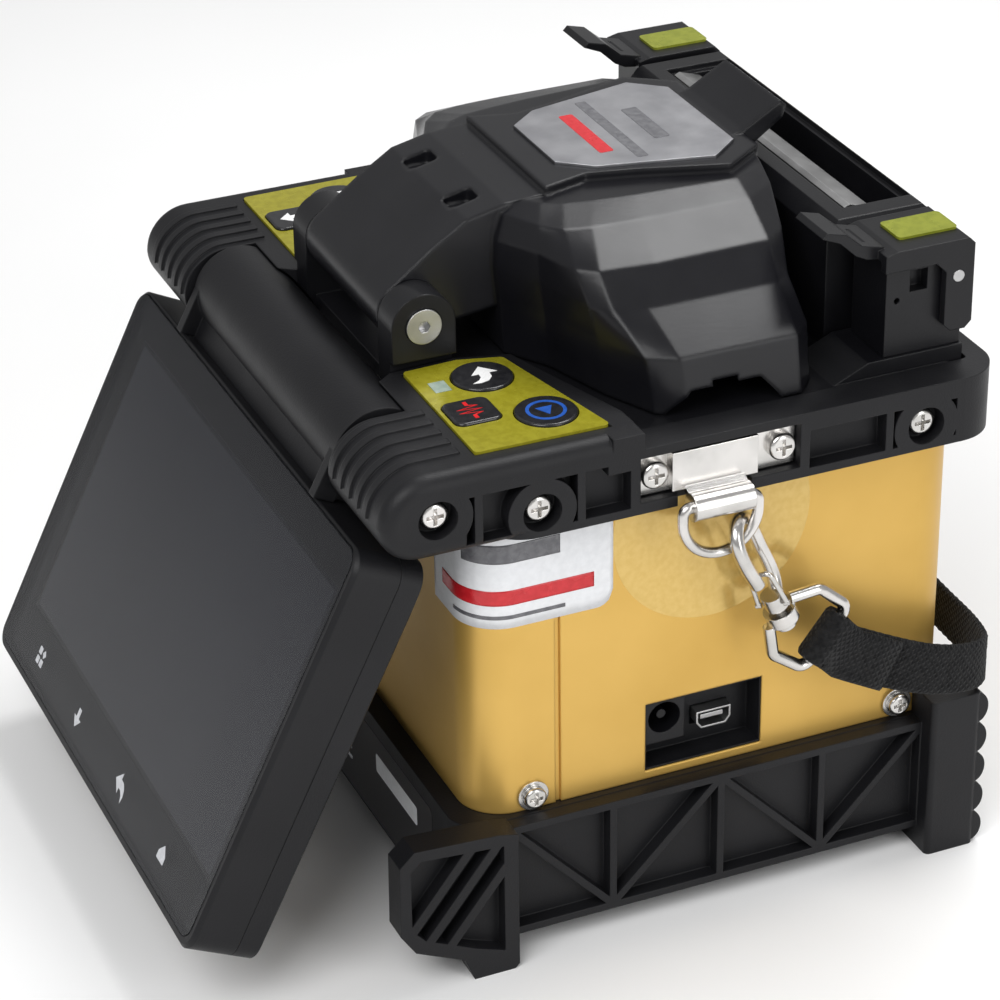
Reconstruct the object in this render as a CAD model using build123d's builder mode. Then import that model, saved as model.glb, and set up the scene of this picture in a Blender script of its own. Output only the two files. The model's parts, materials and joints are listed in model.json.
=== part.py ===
"""Portable fiber fusion splicer: base tray, anodised body, top frame with key pads, tilting
monitor, hinged wind cover over the splicing stage, tube heater and a clip-on carry strap.

Millimetres, +Z up. The origin is the centre of the base's footprint on the table, -Y is the
monitor side and +X is the side with the sockets.
"""
from build123d import *
from math import atan2, cos, degrees, hypot, radians, sin
import os

os.makedirs("parts", exist_ok=True)

# ---------------------------------------------------------------- driving dimensions
FIT = 0.05                     # radial clearance of a running pin
GAP = 0.3                      # clearance between pieces that move past each other

BODY_HALF_X = 61.5
BODY_HALF_Y = 52.3
BODY_CORNER = 9.0
BODY_WALL = 2.0
BODY_BOTTOM = 30.3
BODY_TOP = 94.4
SEAM_Y = -34.6                 # joint between the front and the rear shell
SEAM_WIDTH = 1.2

TRAY_WALL_X = 63.0             # recessed panel of the tray's side
TRAY_RIB_X = 66.0              # outer face of the tray's ribs
TRAY_FRONT_Y = -56.3
TRAY_REAR_Y = 54.0
TRAY_FLOOR = 4.8
TRAY_TOP = 30.2
BUMPER_X = 70.2
TRIPOD_RADIUS = 3.175          # 1/4 inch camera thread
TRIPOD_DEPTH = 8.0

FRAME_HALF_X = 68.0
FRAME_REAR_Y = 57.5
FRAME_BOTTOM = 94.6
FRAME_TOP = 108.2
FRAME_POCKET = 3.4             # depth of the pockets in the frame's side
PAD_TOP = 111.5                # top of the wings, under the key overlay
WING_INNER_X = 41.0
DECK_TOP = 108.0
DECK_UNDER = 104.5
BOSSES_Y = (-61.0, -40.3, 40.2)
BOSS_RADIUS = 6.9
BOSS_HOLE = 3.9

TILT_Y, TILT_Z = -61.0, 102.9  # monitor hinge axis
TILT_ANGLE = 26.34             # monitor's lean from the vertical at rest
BARREL_RADIUS = 9.4
BARREL_HALF_X = 39.6
CASE_HALF_X = 63.2
CASE_TOP_S = 12.0              # distances down the panel from the hinge axis
CASE_BOTTOM_S = 99.0
GLASS_T = 9.0                  # distances out of the panel from the hinge axis
SEAM_T = -1.0
CASE_BACK_T = -8.7

HOOD_Y, HOOD_Z = -46.3, 120.5  # wind cover hinge axis
EAR_INNER_X, EAR_OUTER_X = 19.5, 26.5
KNUCKLE_HALF_X = 19.2
HOOD_BOTTOM = 108.4
HOOD_WALL = 2.2

HEATER_HALF_X = 44.3
HEATER_FRONT_Y, HEATER_REAR_Y = 30.2, 52.8
HEATER_TOP = 134.2
LID_PIN_Y, LID_PIN_Z = 49.3, 127.0
LID_INNER_X, LID_OUTER_X = 45.8, 61.8
LID_TOP = 134.5
LID_UNDER = 132.2

WIRE = 1.1                     # radius of the strap's ring wire
STRAP_WIDTH = 11.0
STRAP_THICKNESS = 1.6
RING_X = 70.6                  # plane of the right D-ring, hook and strap
RING_Y, RING_Z = -5.0, 95.2    # middle of the D-ring's straight bar
BRACKET_SCREWS_Y = (-17.0, 9.6)
BRACKET_Y = sum(BRACKET_SCREWS_Y) / 2


def save(piece, name):
    """Labels one finished piece and writes it as a STEP file."""
    piece.part.label = name
    export_step(piece.part, "parts/" + name + ".step")


def side_plane(x):
    """Sketch plane across X: local x runs along +Y, local y along +Z, extrusion along +X."""
    return Plane(origin=(x, 0, 0), x_dir=(0, 1, 0), z_dir=(1, 0, 0))


# ---------------------------------------------------------------- base tray
RIB_WIDTH = 1.5
TRUSS_Y = (-46.5, -24.8, -1.2, 21.4, 44.5)   # truss nodes along the side
TRUSS_LOW, TRUSS_HIGH = 5.8, 29.3

with BuildPart() as base_tray:
    with BuildSketch(Plane.XY.offset(TRAY_FLOOR)):
        with Locations((0, (TRAY_FRONT_Y + TRAY_REAR_Y) / 2)):
            RectangleRounded(2 * TRAY_WALL_X, TRAY_REAR_Y - TRAY_FRONT_Y, 6)
    extrude(amount=TRAY_TOP - TRAY_FLOOR)
    with BuildSketch(Plane.XY.offset(TRAY_FLOOR + 2.4)):
        RectangleRounded(2 * 59.0, 2 * 50.0, 4)
    extrude(amount=TRAY_TOP - TRAY_FLOOR, mode=Mode.SUBTRACT)
    # flanges, uprights and diagonals of the side trusses
    for side in (-1, 1):
        with BuildSketch(side_plane(side * TRAY_WALL_X)):
            for z in (TRAY_FLOOR + 0.7, TRAY_TOP - 0.9):
                with Locations((0, z)):
                    Rectangle(94.0, 1.6)
            for y in TRUSS_Y:
                with Locations((y, (TRAY_FLOOR + TRAY_TOP) / 2)):
                    Rectangle(RIB_WIDTH, TRAY_TOP - TRAY_FLOOR - 0.2)
            for i in range(len(TRUSS_Y) - 1):
                ends = (TRUSS_HIGH, TRUSS_LOW) if i % 2 == 0 else (TRUSS_LOW, TRUSS_HIGH)
                run, rise = TRUSS_Y[i + 1] - TRUSS_Y[i], ends[1] - ends[0]
                middle = ((TRUSS_Y[i] + TRUSS_Y[i + 1]) / 2, sum(ends) / 2)
                with Locations(Location((middle[0], middle[1], 0), (0, 0, degrees(atan2(rise, run))))):
                    Rectangle(hypot(run, rise), RIB_WIDTH)
        extrude(amount=side * (TRAY_RIB_X - TRAY_WALL_X))
    # front bumpers: ears that reach forward on both sides of the monitor
    for side in (-1, 1):
        with BuildSketch(side_plane(side * 64.2)):
            with BuildLine():
                Polyline((-47.0, 1.0), (-47.0, 31.5), (-51.0, 32.4), (-68.5, 33.4), (-71.6, 30.4), (-71.8, 14.6),
                         (-68.8, 10.0), (-58.6, 5.2), (-56.6, 0.0), (-48.0, 0.0), close=True)
            make_face()
        extrude(amount=side * (BUMPER_X - 64.2))
        with BuildSketch(side_plane(side * (TRAY_WALL_X - 1))):
            with Locations(((TRAY_FRONT_Y - 47.0) / 2, 16)):
                Rectangle(-47.0 - TRAY_FRONT_Y, 29)
        extrude(amount=side * 3)
        # slanted pockets leave a rim and diagonal ribs on the outer face
        with BuildSketch(side_plane(side * BUMPER_X)) as pockets:
            with BuildLine():
                Polyline((-50.0, 5.0), (-50.0, 29.6), (-67.2, 31.0), (-69.4, 28.8), (-69.4, 15.4), (-66.6, 12.2),
                         (-56.0, 7.2), close=True)
            make_face()
            for y in (-66.0, -60.0, -54.0):
                with Locations(Location((y, 19.0, 0), (0, 0, 52))):
                    Rectangle(44.0, 1.9, mode=Mode.SUBTRACT)
        extrude(amount=-side * 3.2, mode=Mode.SUBTRACT)
    # rear bumpers with five rolled ribs round each corner
    for side in (-1, 1):
        with BuildSketch(Plane.XY):
            with Locations((side * (TRAY_WALL_X - 9 + BUMPER_X) / 2, 49.6)):
                RectangleRounded(BUMPER_X - TRAY_WALL_X + 9, 11.2, 1.2)
        extrude(amount=36.6)
        for i in range(5):
            with BuildSketch(side_plane(side * (TRAY_WALL_X - 9))):
                with Locations((54.6, 3.9 + 7.2 * i)):
                    Ellipse(2.6, 3.5)
            extrude(amount=side * (BUMPER_X - TRAY_WALL_X + 8.4))
        # the bumper's inner side is cut to the body's corner
    with BuildSketch(Plane.XY.offset(BODY_BOTTOM - 0.1)):
        RectangleRounded(2 * BODY_HALF_X + 0.4, 2 * BODY_HALF_Y + 0.4, BODY_CORNER + 0.2)
    extrude(amount=10, mode=Mode.SUBTRACT)
    # rear feet are cut back so that the bumper meets the table on its outer end
    for side in (-1, 1):
        with BuildSketch(side_plane(side * (TRAY_WALL_X - 12))):
            with Locations((50, 0)):
                Rectangle(40, 2 * TRAY_FLOOR)
        extrude(amount=side * 6, mode=Mode.SUBTRACT)
    # boss for the tripod thread in the middle of the underside
    with BuildSketch(Plane.XY):
        Circle(9.0)
    extrude(amount=TRIPOD_DEPTH + 4)
    with BuildSketch(Plane.XY):
        Circle(TRIPOD_RADIUS)
    extrude(amount=TRIPOD_DEPTH, mode=Mode.SUBTRACT)
save(base_tray, "base_tray")

# ---------------------------------------------------------------- anodised body shells
BODY_SCREWS_Y = (-40.2, 40.2)
BODY_SCREW_Z = 33.6
PORT_Y = (-15.9, 9.6)
PORT_Z = (32.1, 47.6)


with BuildPart() as body_tube:
    # closed tube of the body, which the two shells are cut from
    with BuildSketch(Plane.XY.offset(BODY_BOTTOM)):
        RectangleRounded(2 * BODY_HALF_X, 2 * BODY_HALF_Y, BODY_CORNER)
        RectangleRounded(2 * (BODY_HALF_X - BODY_WALL), 2 * (BODY_HALF_Y - BODY_WALL),
                         BODY_CORNER - BODY_WALL, mode=Mode.SUBTRACT)
    extrude(amount=BODY_TOP - BODY_BOTTOM)

with BuildPart() as body_front_shell:
    add(body_tube.part)
    seam_front = Plane(origin=(0, SEAM_Y - SEAM_WIDTH / 2, 0), z_dir=(0, 1, 0))
    split(bisect_by=seam_front, keep=Keep.BOTTOM)
    # tongue that closes the seam groove from behind
    for side in (-1, 1):
        with BuildSketch(Plane.XY.offset(BODY_BOTTOM)):
            with Locations((side * (BODY_HALF_X - 1.0), SEAM_Y)):
                Rectangle(0.9, SEAM_WIDTH)
        extrude(amount=BODY_TOP - BODY_BOTTOM)
    for side in (-1, 1):
        with BuildSketch(side_plane(side * (BODY_HALF_X + 1))):
            with Locations((BODY_SCREWS_Y[0], BODY_SCREW_Z)):
                Circle(1.5)
        extrude(amount=-side * 6, mode=Mode.SUBTRACT)
save(body_front_shell, "body_front_shell")

with BuildPart() as body_rear_shell:
    add(body_tube.part)
    seam_rear = Plane(origin=(0, SEAM_Y + SEAM_WIDTH / 2, 0), z_dir=(0, 1, 0))
    split(bisect_by=seam_rear, keep=Keep.TOP)
    with BuildSketch(side_plane(BODY_HALF_X - 4)):
        with Locations((sum(PORT_Y) / 2, sum(PORT_Z) / 2)):
            Rectangle(PORT_Y[1] - PORT_Y[0], PORT_Z[1] - PORT_Z[0])
    extrude(amount=8, mode=Mode.SUBTRACT)
    for side in (-1, 1):
        with BuildSketch(side_plane(side * (BODY_HALF_X + 1))):
            with Locations((BODY_SCREWS_Y[1], BODY_SCREW_Z)):
                Circle(1.5)
        extrude(amount=-side * 6, mode=Mode.SUBTRACT)
save(body_rear_shell, "body_rear_shell")

# ---------------------------------------------------------------- sockets
JACK_Y, JACK_Z, JACK_RADIUS = -11.1, 42.6, 3.45
USB_Y, USB_Z = 0.6, 38.6

with BuildPart() as port_insert:
    with BuildSketch(side_plane(53.0)):
        with Locations((sum(PORT_Y) / 2, sum(PORT_Z) / 2)):
            Rectangle(PORT_Y[1] - PORT_Y[0] - 0.1, PORT_Z[1] - PORT_Z[0] - 0.1)
    extrude(amount=61.2 - 53.0)
    with BuildSketch(side_plane(55.8)):
        with Locations((sum(PORT_Y) / 2, sum(PORT_Z) / 2)):
            Rectangle(PORT_Y[1] - PORT_Y[0] - 0.7, PORT_Z[1] - PORT_Z[0] - 0.9)
    extrude(amount=8, mode=Mode.SUBTRACT)
    # windows for the two sockets
    with BuildSketch(side_plane(52.0)):
        with Locations((JACK_Y, JACK_Z - 0.6)):
            Rectangle(9.0, 10.2)
        with Locations((USB_Y, USB_Z)):
            Rectangle(8.0, 4.3)
    extrude(amount=5, mode=Mode.SUBTRACT)
save(port_insert, "port_insert")

with BuildPart() as dc_jack:
    with BuildSketch(side_plane(46.0)):
        with Locations((JACK_Y, JACK_Z - 0.6)):
            Rectangle(8.8, 10.0)
    extrude(amount=14.0)
    with BuildSketch(side_plane(60.0)):
        with Locations((JACK_Y, JACK_Z)):
            Circle(JACK_RADIUS)
    extrude(amount=-9.0, mode=Mode.SUBTRACT)
    # centre contact pin
    with BuildSketch(side_plane(50.0)):
        with Locations((JACK_Y, JACK_Z)):
            Circle(1.0)
    extrude(amount=8.6)
save(dc_jack, "dc_jack")

with BuildPart() as usb_socket:
    with BuildSketch(side_plane(51.0)):
        with BuildLine():
            Polyline((USB_Y - 3.8, USB_Z + 2.0), (USB_Y + 3.8, USB_Z + 2.0), (USB_Y + 3.8, USB_Z - 0.6),
                     (USB_Y + 2.7, USB_Z - 2.0), (USB_Y - 2.7, USB_Z - 2.0), (USB_Y - 3.8, USB_Z - 0.6), close=True)
        make_face()
        with BuildLine():
            Polyline((USB_Y - 3.4, USB_Z + 1.6), (USB_Y + 3.4, USB_Z + 1.6), (USB_Y + 3.4, USB_Z - 0.4),
                     (USB_Y + 2.5, USB_Z - 1.6), (USB_Y - 2.5, USB_Z - 1.6), (USB_Y - 3.4, USB_Z - 0.4), close=True)
        make_face(mode=Mode.SUBTRACT)
    extrude(amount=7.4)
    # tongue with the contacts and the back wall that carries it
    with BuildSketch(side_plane(51.0)):
        with Locations((USB_Y, USB_Z)):
            Rectangle(7.2, 3.6)
    extrude(amount=1.0)
    with BuildSketch(side_plane(51.5)):
        with Locations((USB_Y, USB_Z + 0.1)):
            Rectangle(5.0, 1.0)
    extrude(amount=6.0)
save(usb_socket, "usb_socket")

# ---------------------------------------------------------------- upper frame with wings
WING_NOSE_Y = -72.0
WING_REAR_Y = -26.0
STEP_Y = -19.5                 # where the wing's height steps down to the frame's
GRIP_X = tuple(43.4 + 4.15 * i for i in range(5))
GRIP_HEIGHT = 0.45
PANEL = ((27.0, -51.2), (62.4, -51.2), (62.7, -24.0), (29.0, -31.2), (26.5, -39.9))
RIB_Y = (-53.0, -32.4, -21.6, 14.2, 32.2, 47.6)


with BuildPart() as wing:
    # right wing: a block with a rounded nose and finger grips that run over it
    with BuildSketch(side_plane(WING_INNER_X)):
        with BuildLine():
            Line((WING_REAR_Y, PAD_TOP), (-62.5, PAD_TOP))
            TangentArc((-62.5, PAD_TOP), (WING_NOSE_Y, 102.4), tangent=(-1, 0))
            TangentArc((WING_NOSE_Y, 102.4), (-64.2, FRAME_BOTTOM), tangent=(0, -1))
            Line((-64.2, FRAME_BOTTOM), (WING_REAR_Y, FRAME_BOTTOM))
            Line((WING_REAR_Y, FRAME_BOTTOM), (WING_REAR_Y, PAD_TOP))
        make_face()
    extrude(amount=FRAME_HALF_X - WING_INNER_X)
    outer_edges = [e for e in wing.edges() if abs(e.center().X - FRAME_HALF_X) < 0.1]
    fillet([e for e in outer_edges if e.center().Y < -30 and e.center().Z > FRAME_BOTTOM + 1], 3.0)
    for x in GRIP_X:
        with BuildSketch(side_plane(x - 0.9)):
            with BuildLine():
                Line((-53.6, PAD_TOP + GRIP_HEIGHT), (-62.5, PAD_TOP + GRIP_HEIGHT))
                TangentArc((-62.5, PAD_TOP + GRIP_HEIGHT), (WING_NOSE_Y - GRIP_HEIGHT, 102.4), tangent=(-1, 0))
                Line((WING_NOSE_Y - GRIP_HEIGHT, 102.4), (-68.0, 102.4))
                Line((-68.0, 102.4), (-53.6, 108.0))
                Line((-53.6, 108.0), (-53.6, PAD_TOP + GRIP_HEIGHT))
            make_face()
        extrude(amount=1.8)

with BuildPart() as upper_frame:
    # ring round the top of the body
    with BuildSketch(Plane.XY.offset(FRAME_BOTTOM)):
        with Locations((0, (FRAME_REAR_Y - 50.0) / 2)):
            RectangleRounded(2 * FRAME_HALF_X, FRAME_REAR_Y + 50.0, 9)
        with Locations((0, 1.0)):
            RectangleRounded(2 * 60.5, 104.0, 1, mode=Mode.SUBTRACT)
    extrude(amount=FRAME_TOP - FRAME_BOTTOM)
    for side in (-1, 1):
        add(wing.part if side > 0 else mirror(wing.part, about=Plane.YZ, mode=Mode.PRIVATE))
        with BuildSketch(Plane.XY.offset(FRAME_BOTTOM)):
            with Locations((side * (FRAME_HALF_X + 60.5) / 2, (WING_REAR_Y + STEP_Y) / 2)):
                Rectangle(FRAME_HALF_X - 60.5, STEP_Y - WING_REAR_Y)
        extrude(amount=PAD_TOP - FRAME_BOTTOM)
    # solid pads that carry the key overlays
    for side in (-1, 1):
        with BuildSketch(Plane.XY.offset(DECK_UNDER)):
            with BuildLine():
                Polyline((side * 61.0, -19.6), (side * 58.0, -19.6), (side * 27.6, -29.0), (side * 24.6, -39.6),
                         (side * 25.4, -53.0), (side * 28.4, -57.0), (side * 38.0, -58.2), (side * 42.0, -59.0),
                         (side * 61.0, -59.0), close=True)
            make_face()
        extrude(amount=PAD_TOP - DECK_UNDER)
    # wings are hollow behind the nose, down to the body's top
    for side in (-1, 1):
        with BuildSketch(Plane.XY.offset(FRAME_BOTTOM)):
            with Locations((side * 52.5, -36.5)):
                Rectangle(16.0, 30.0)
        extrude(amount=9.0, mode=Mode.SUBTRACT)
    # shallow pockets between the flanges of the outer side
    for side in (-1, 1):
        with BuildSketch(side_plane(side * FRAME_HALF_X)):
            with Locations((-4.0, 100.3)):
                Rectangle(103.0, 8.0)
            with Locations((-41.0, 104.2)):
                Rectangle(28.0, 4.0)
            for y in RIB_Y:
                with Locations((y, 101.0)):
                    Rectangle(1.6, 14.0, mode=Mode.SUBTRACT)
            for y, z in zip(BOSSES_Y, (TILT_Z, 99.7, 99.7)):
                with Locations((y, z)):
                    Circle(BOSS_RADIUS, mode=Mode.SUBTRACT)
            with Locations((BRACKET_Y, 100.3)):
                Rectangle(36.4, 9.0, mode=Mode.SUBTRACT)
        extrude(amount=-side * FRAME_POCKET, mode=Mode.SUBTRACT)
        # window for the strap bracket, open at the bottom in its middle
        with BuildSketch(side_plane(side * FRAME_HALF_X)):
            with Locations((BRACKET_Y, 101.6)):
                Rectangle(33.4, 9.4)
            with Locations((RING_Y, 96.5)):
                Rectangle(15.4, 5.0)
        extrude(amount=-side * FRAME_POCKET, mode=Mode.SUBTRACT)
    # pockets in the rear wall
    with BuildSketch(Plane(origin=(0, FRAME_REAR_Y, 0), x_dir=(1, 0, 0), z_dir=(0, -1, 0))):
        with Locations((0, 100.6)):
            Rectangle(114.0, 8.4)
        for i in range(5):
            with Locations((-38.0 + 19.0 * i, 100.6)):
                Rectangle(1.6, 10.0, mode=Mode.SUBTRACT)
    extrude(amount=FRAME_POCKET, mode=Mode.SUBTRACT)
    # screw holes of the bosses, with counterbores for the heads
    for side in (-1, 1):
        for y, z in zip(BOSSES_Y, (TILT_Z, 99.7, 99.7)):
            with BuildSketch(side_plane(side * FRAME_HALF_X)):
                with Locations((y, z)):
                    Circle(BOSS_HOLE)
            extrude(amount=-side * 3.6, mode=Mode.SUBTRACT)
            with BuildSketch(side_plane(side * FRAME_HALF_X)):
                with Locations((y, z)):
                    Circle(1.5)
            extrude(amount=-side * 7.0, mode=Mode.SUBTRACT)
        # journal for the monitor's shaft
        with BuildSketch(side_plane(side * (WING_INNER_X - 1))):
            with Locations((TILT_Y, TILT_Z)):
                Circle(3.0 + FIT)
        extrude(amount=side * 8.0, mode=Mode.SUBTRACT)
    # room for the barrel that turns between the wings
    with BuildSketch(side_plane(-WING_INNER_X)):
        with Locations((TILT_Y, TILT_Z)):
            Circle(BARREL_RADIUS + 0.4)
    extrude(amount=2 * WING_INNER_X, mode=Mode.SUBTRACT)
    # seats for the overlays
    for side in (-1, 1):
        with BuildSketch(Plane.XY.offset(PAD_TOP - 0.4)):
            with BuildLine():
                Polyline([(side * x, y) for x, y in PANEL], close=True)
            make_face()
            offset(amount=0.1, kind=Kind.INTERSECTION)
        extrude(amount=3, mode=Mode.SUBTRACT)

# ---------------------------------------------------------------- keys and their overlays
KEY_TRAVEL = 0.4
KEY_PLACES = {"key_back": (35.3, -38.2, "round"), "key_heat": (47.6, -45.6, "square"),
              "key_splice": (53.4, -33.0, "round")}
KEY_RADIUS = 6.0
KEY_SQUARE = 9.4
SENSOR = (35.6, -47.0, 4.4, 3.4)   # place and size of the light sensor's window


def key_outline(shape, grow, mode=Mode.ADD):
    """Outline of a key, round or square, grown by a clearance."""
    if shape == "round":
        Circle(KEY_RADIUS + grow, mode=mode)
    else:
        RectangleRounded(KEY_SQUARE + 2 * grow, KEY_SQUARE + 2 * grow, 1.8 + grow, mode=mode)


with upper_frame:
    for side in (-1, 1):
        with BuildSketch(Plane.XY.offset(PAD_TOP + 0.5)):
            for x, y, shape in KEY_PLACES.values():
                with Locations((side * x, y)):
                    key_outline(shape, 0.3)
        extrude(amount=-3.2, mode=Mode.SUBTRACT)
    for side in (-1, 1):
        with BuildSketch(side_plane(side * 67.0)):
            with Locations(*[(y, 101.7) for y in BRACKET_SCREWS_Y]):
                Circle(1.5)
        extrude(amount=-side * 6.0, mode=Mode.SUBTRACT)
save(upper_frame, "upper_frame")

for side, word in ((1, "right"), (-1, "left")):
    with BuildPart() as key_panel:
        with BuildSketch(Plane.XY.offset(PAD_TOP - 0.4)):
            with BuildLine():
                Polyline([(side * x, y) for x, y in PANEL], close=True)
            make_face()
            fillet(vertices(), 1.0)
            for x, y, shape in KEY_PLACES.values():
                with Locations((side * x, y)):
                    key_outline(shape, 0.2, Mode.SUBTRACT)
            with Locations((side * SENSOR[0], SENSOR[1])):
                Rectangle(SENSOR[2], SENSOR[3], mode=Mode.SUBTRACT)
        extrude(amount=0.9)
    save(key_panel, "key_panel_" + word)

LEFT_NAMES = {"key_back": "key_power", "key_heat": "key_down", "key_splice": "key_menu"}
for side in (1, -1):
    for name, (x, y, shape) in KEY_PLACES.items():
        with BuildPart() as key:
            with BuildSketch(Plane.XY.offset(PAD_TOP - 1.9)):
                with Locations((side * x, y)):
                    key_outline(shape, 0)
            extrude(amount=2.9)
            fillet(key.edges().group_by(Axis.Z)[-1], 0.45)
        save(key, name if side == 1 else LEFT_NAMES[name])

with BuildPart() as sensor_windows:
    with BuildSketch(Plane.XY.offset(PAD_TOP - 0.4)):
        for side in (-1, 1):
            with Locations((side * SENSOR[0], SENSOR[1])):
                Rectangle(SENSOR[2] - 0.1, SENSOR[3] - 0.1)
    extrude(amount=0.95)
save(sensor_windows, "sensor_windows")

# ---------------------------------------------------------------- top deck with the hinge ears
WELL_HALF_X, WELL_FRONT_Y, WELL_REAR_Y = 38.0, -20.0, 17.0
EAR_RADIUS = 6.6

with BuildPart() as top_deck:
    with BuildSketch(Plane.XY.offset(DECK_UNDER)):
        with Locations((0, 1.0)):
            RectangleRounded(2 * 60.4, 103.8, 5.9)
        with BuildLine():
            Polyline((-24.2, -50.9), (24.2, -50.9), (24.2, -39.4), (27.4, -28.7), (57.9, -19.3), (61.0, -19.3),
                     (61.0, -60.0), (-61.0, -60.0), (-61.0, -19.3), (-57.9, -19.3), (-27.4, -28.7),
                     (-24.2, -39.4), close=True)
        make_face(mode=Mode.SUBTRACT)
        with Locations((0, -50.0)):
            Rectangle(48.4, 2.0)
        with Locations((0, (WELL_FRONT_Y + WELL_REAR_Y) / 2)):
            RectangleRounded(2 * WELL_HALF_X, WELL_REAR_Y - WELL_FRONT_Y, 4, mode=Mode.SUBTRACT)
    extrude(amount=DECK_TOP - DECK_UNDER)
    # ears that hold the wind cover
    for side in (-1, 1):
        with BuildSketch(side_plane(side * EAR_INNER_X)):
            with Locations((HOOD_Y, HOOD_Z)):
                Circle(EAR_RADIUS)
            with Locations((HOOD_Y, (HOOD_Z + DECK_UNDER) / 2)):
                Rectangle(2 * EAR_RADIUS, HOOD_Z - DECK_UNDER)
            with Locations((HOOD_Y + 5, DECK_TOP + 0.8)):
                Rectangle(12.0, 3.0)
        extrude(amount=side * (EAR_OUTER_X - EAR_INNER_X))
    # pads under the heater's end clamps, with a wedge towards the front
    for side in (-1, 1):
        with BuildSketch(side_plane(side * 45.2)):
            with BuildLine():
                Polyline((24.0, DECK_TOP), (31.5, 111.4), (52.0, 111.4), (52.0, DECK_TOP - 1), (24.0, DECK_TOP - 1),
                         close=True)
            make_face()
        extrude(amount=side * 14.8)
    # notches of the overlay's pads stay free
    for side in (-1, 1):
        with BuildSketch(Plane.XY.offset(DECK_UNDER - 1)):
            with BuildLine():
                Polyline((side * 62.0, -19.3), (side * 57.9, -19.3), (side * 27.4, -28.8), (side * 24.3, -39.5),
                         (side * 25.1, -53.1), (side * 62.0, -53.1), close=True)
            make_face()
        extrude(amount=10, mode=Mode.SUBTRACT)
    # countersunk seats for the shoulder screws
    for side in (-1, 1):
        with BuildSketch(side_plane(side * (EAR_INNER_X - 1))):
            with Locations((HOOD_Y, HOOD_Z)):
                Circle(2.5)
        extrude(amount=side * 10, mode=Mode.SUBTRACT)
        with BuildSketch(side_plane(side * EAR_OUTER_X)):
            with Locations((HOOD_Y, HOOD_Z)):
                Circle(3.7)
        extrude(amount=-side * 1.6, mode=Mode.SUBTRACT)
    with BuildSketch(side_plane(-WING_INNER_X)):
        with Locations((TILT_Y, TILT_Z)):
            Circle(BARREL_RADIUS + 0.4)
    extrude(amount=2 * WING_INNER_X, mode=Mode.SUBTRACT)
save(top_deck, "top_deck")

with BuildPart() as hood_pivot_screws:
    for side in (-1, 1):
        with BuildSketch(side_plane(side * 9.0)):
            with Locations((HOOD_Y, HOOD_Z)):
                Circle(2.5)
        extrude(amount=side * (EAR_OUTER_X - 10.6))
        with BuildSketch(side_plane(side * (EAR_OUTER_X - 1.6))):
            with Locations((HOOD_Y, HOOD_Z)):
                Circle(3.6)
        extrude(amount=side * 2.0)
        with BuildSketch(side_plane(side * (EAR_OUTER_X + 0.4))):
            with Locations((HOOD_Y, HOOD_Z)):
                RegularPolygon(1.25, 6)
        extrude(amount=-side * 1.4, mode=Mode.SUBTRACT)
save(hood_pivot_screws, "hood_pivot_screws")

# ---------------------------------------------------------------- wind cover
# half outlines of the cover, front to rear, at rising heights: (height, points)
HOOD_LEVELS = (
    (HOOD_BOTTOM, ((21.0, -27.6), (30.0, -22.0), (45.0, -17.4), (56.5, -12.0), (60.4, -6.5), (60.4, 17.0), (56.0, 21.0),
                   (30.0, 22.4))),
    (120.0, ((21.0, -28.2), (30.0, -22.6), (44.6, -18.4), (55.4, -13.6), (58.6, -8.0), (58.6, 16.6), (54.6, 20.8),
             (30.0, 23.0))),
    (126.6, ((21.0, -28.8), (30.0, -23.6), (43.8, -19.6), (47.4, -16.4), (48.8, -10.0), (48.8, 17.4), (46.0, 21.0),
             (30.0, 24.4))),
    (132.8, ((21.0, -28.6), (30.0, -24.0), (39.6, -20.6), (42.4, -17.0), (43.4, -6.0), (42.8, 18.4), (39.0, 23.2),
             (28.0, 26.6))),
    (137.4, ((20.0, -26.8), (28.0, -23.0), (31.6, -19.4), (32.8, -14.0), (33.4, -4.0), (33.4, 19.0), (28.6, 26.0),
             (20.0, 28.2))),
    (139.2, ((18.6, -23.0), (22.0, -20.0), (24.0, -16.0), (25.0, -10.0), (26.0, -2.0), (27.4, 19.4), (23.0, 26.8),
             (16.0, 28.6))),
)
PLATEAU = ((19.3, -17.6), (16.6, -8.0), (19.0, 2.0), (24.6, 19.4), (18.0, 28.6))
PLATEAU_TOP = 140.9


def hood_outline(points, inset):
    """Closed outline of one level of the cover, both halves, moved inwards by inset."""
    right = []
    for x, y in points:
        pull = 1 if y < 0 else -1
        right.append((x - inset, y + pull * inset * 0.8))
    left = [(-x, y) for x, y in reversed(right)]
    Polyline(right + left, close=True)


with BuildPart() as hood_cavity:
    for z, points in HOOD_LEVELS[:-1]:
        with BuildSketch(Plane.XY.offset(z - (1.0 if z == HOOD_BOTTOM else HOOD_WALL))):
            with BuildLine():
                hood_outline(points, HOOD_WALL)
            make_face()
    loft(ruled=True)

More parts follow.
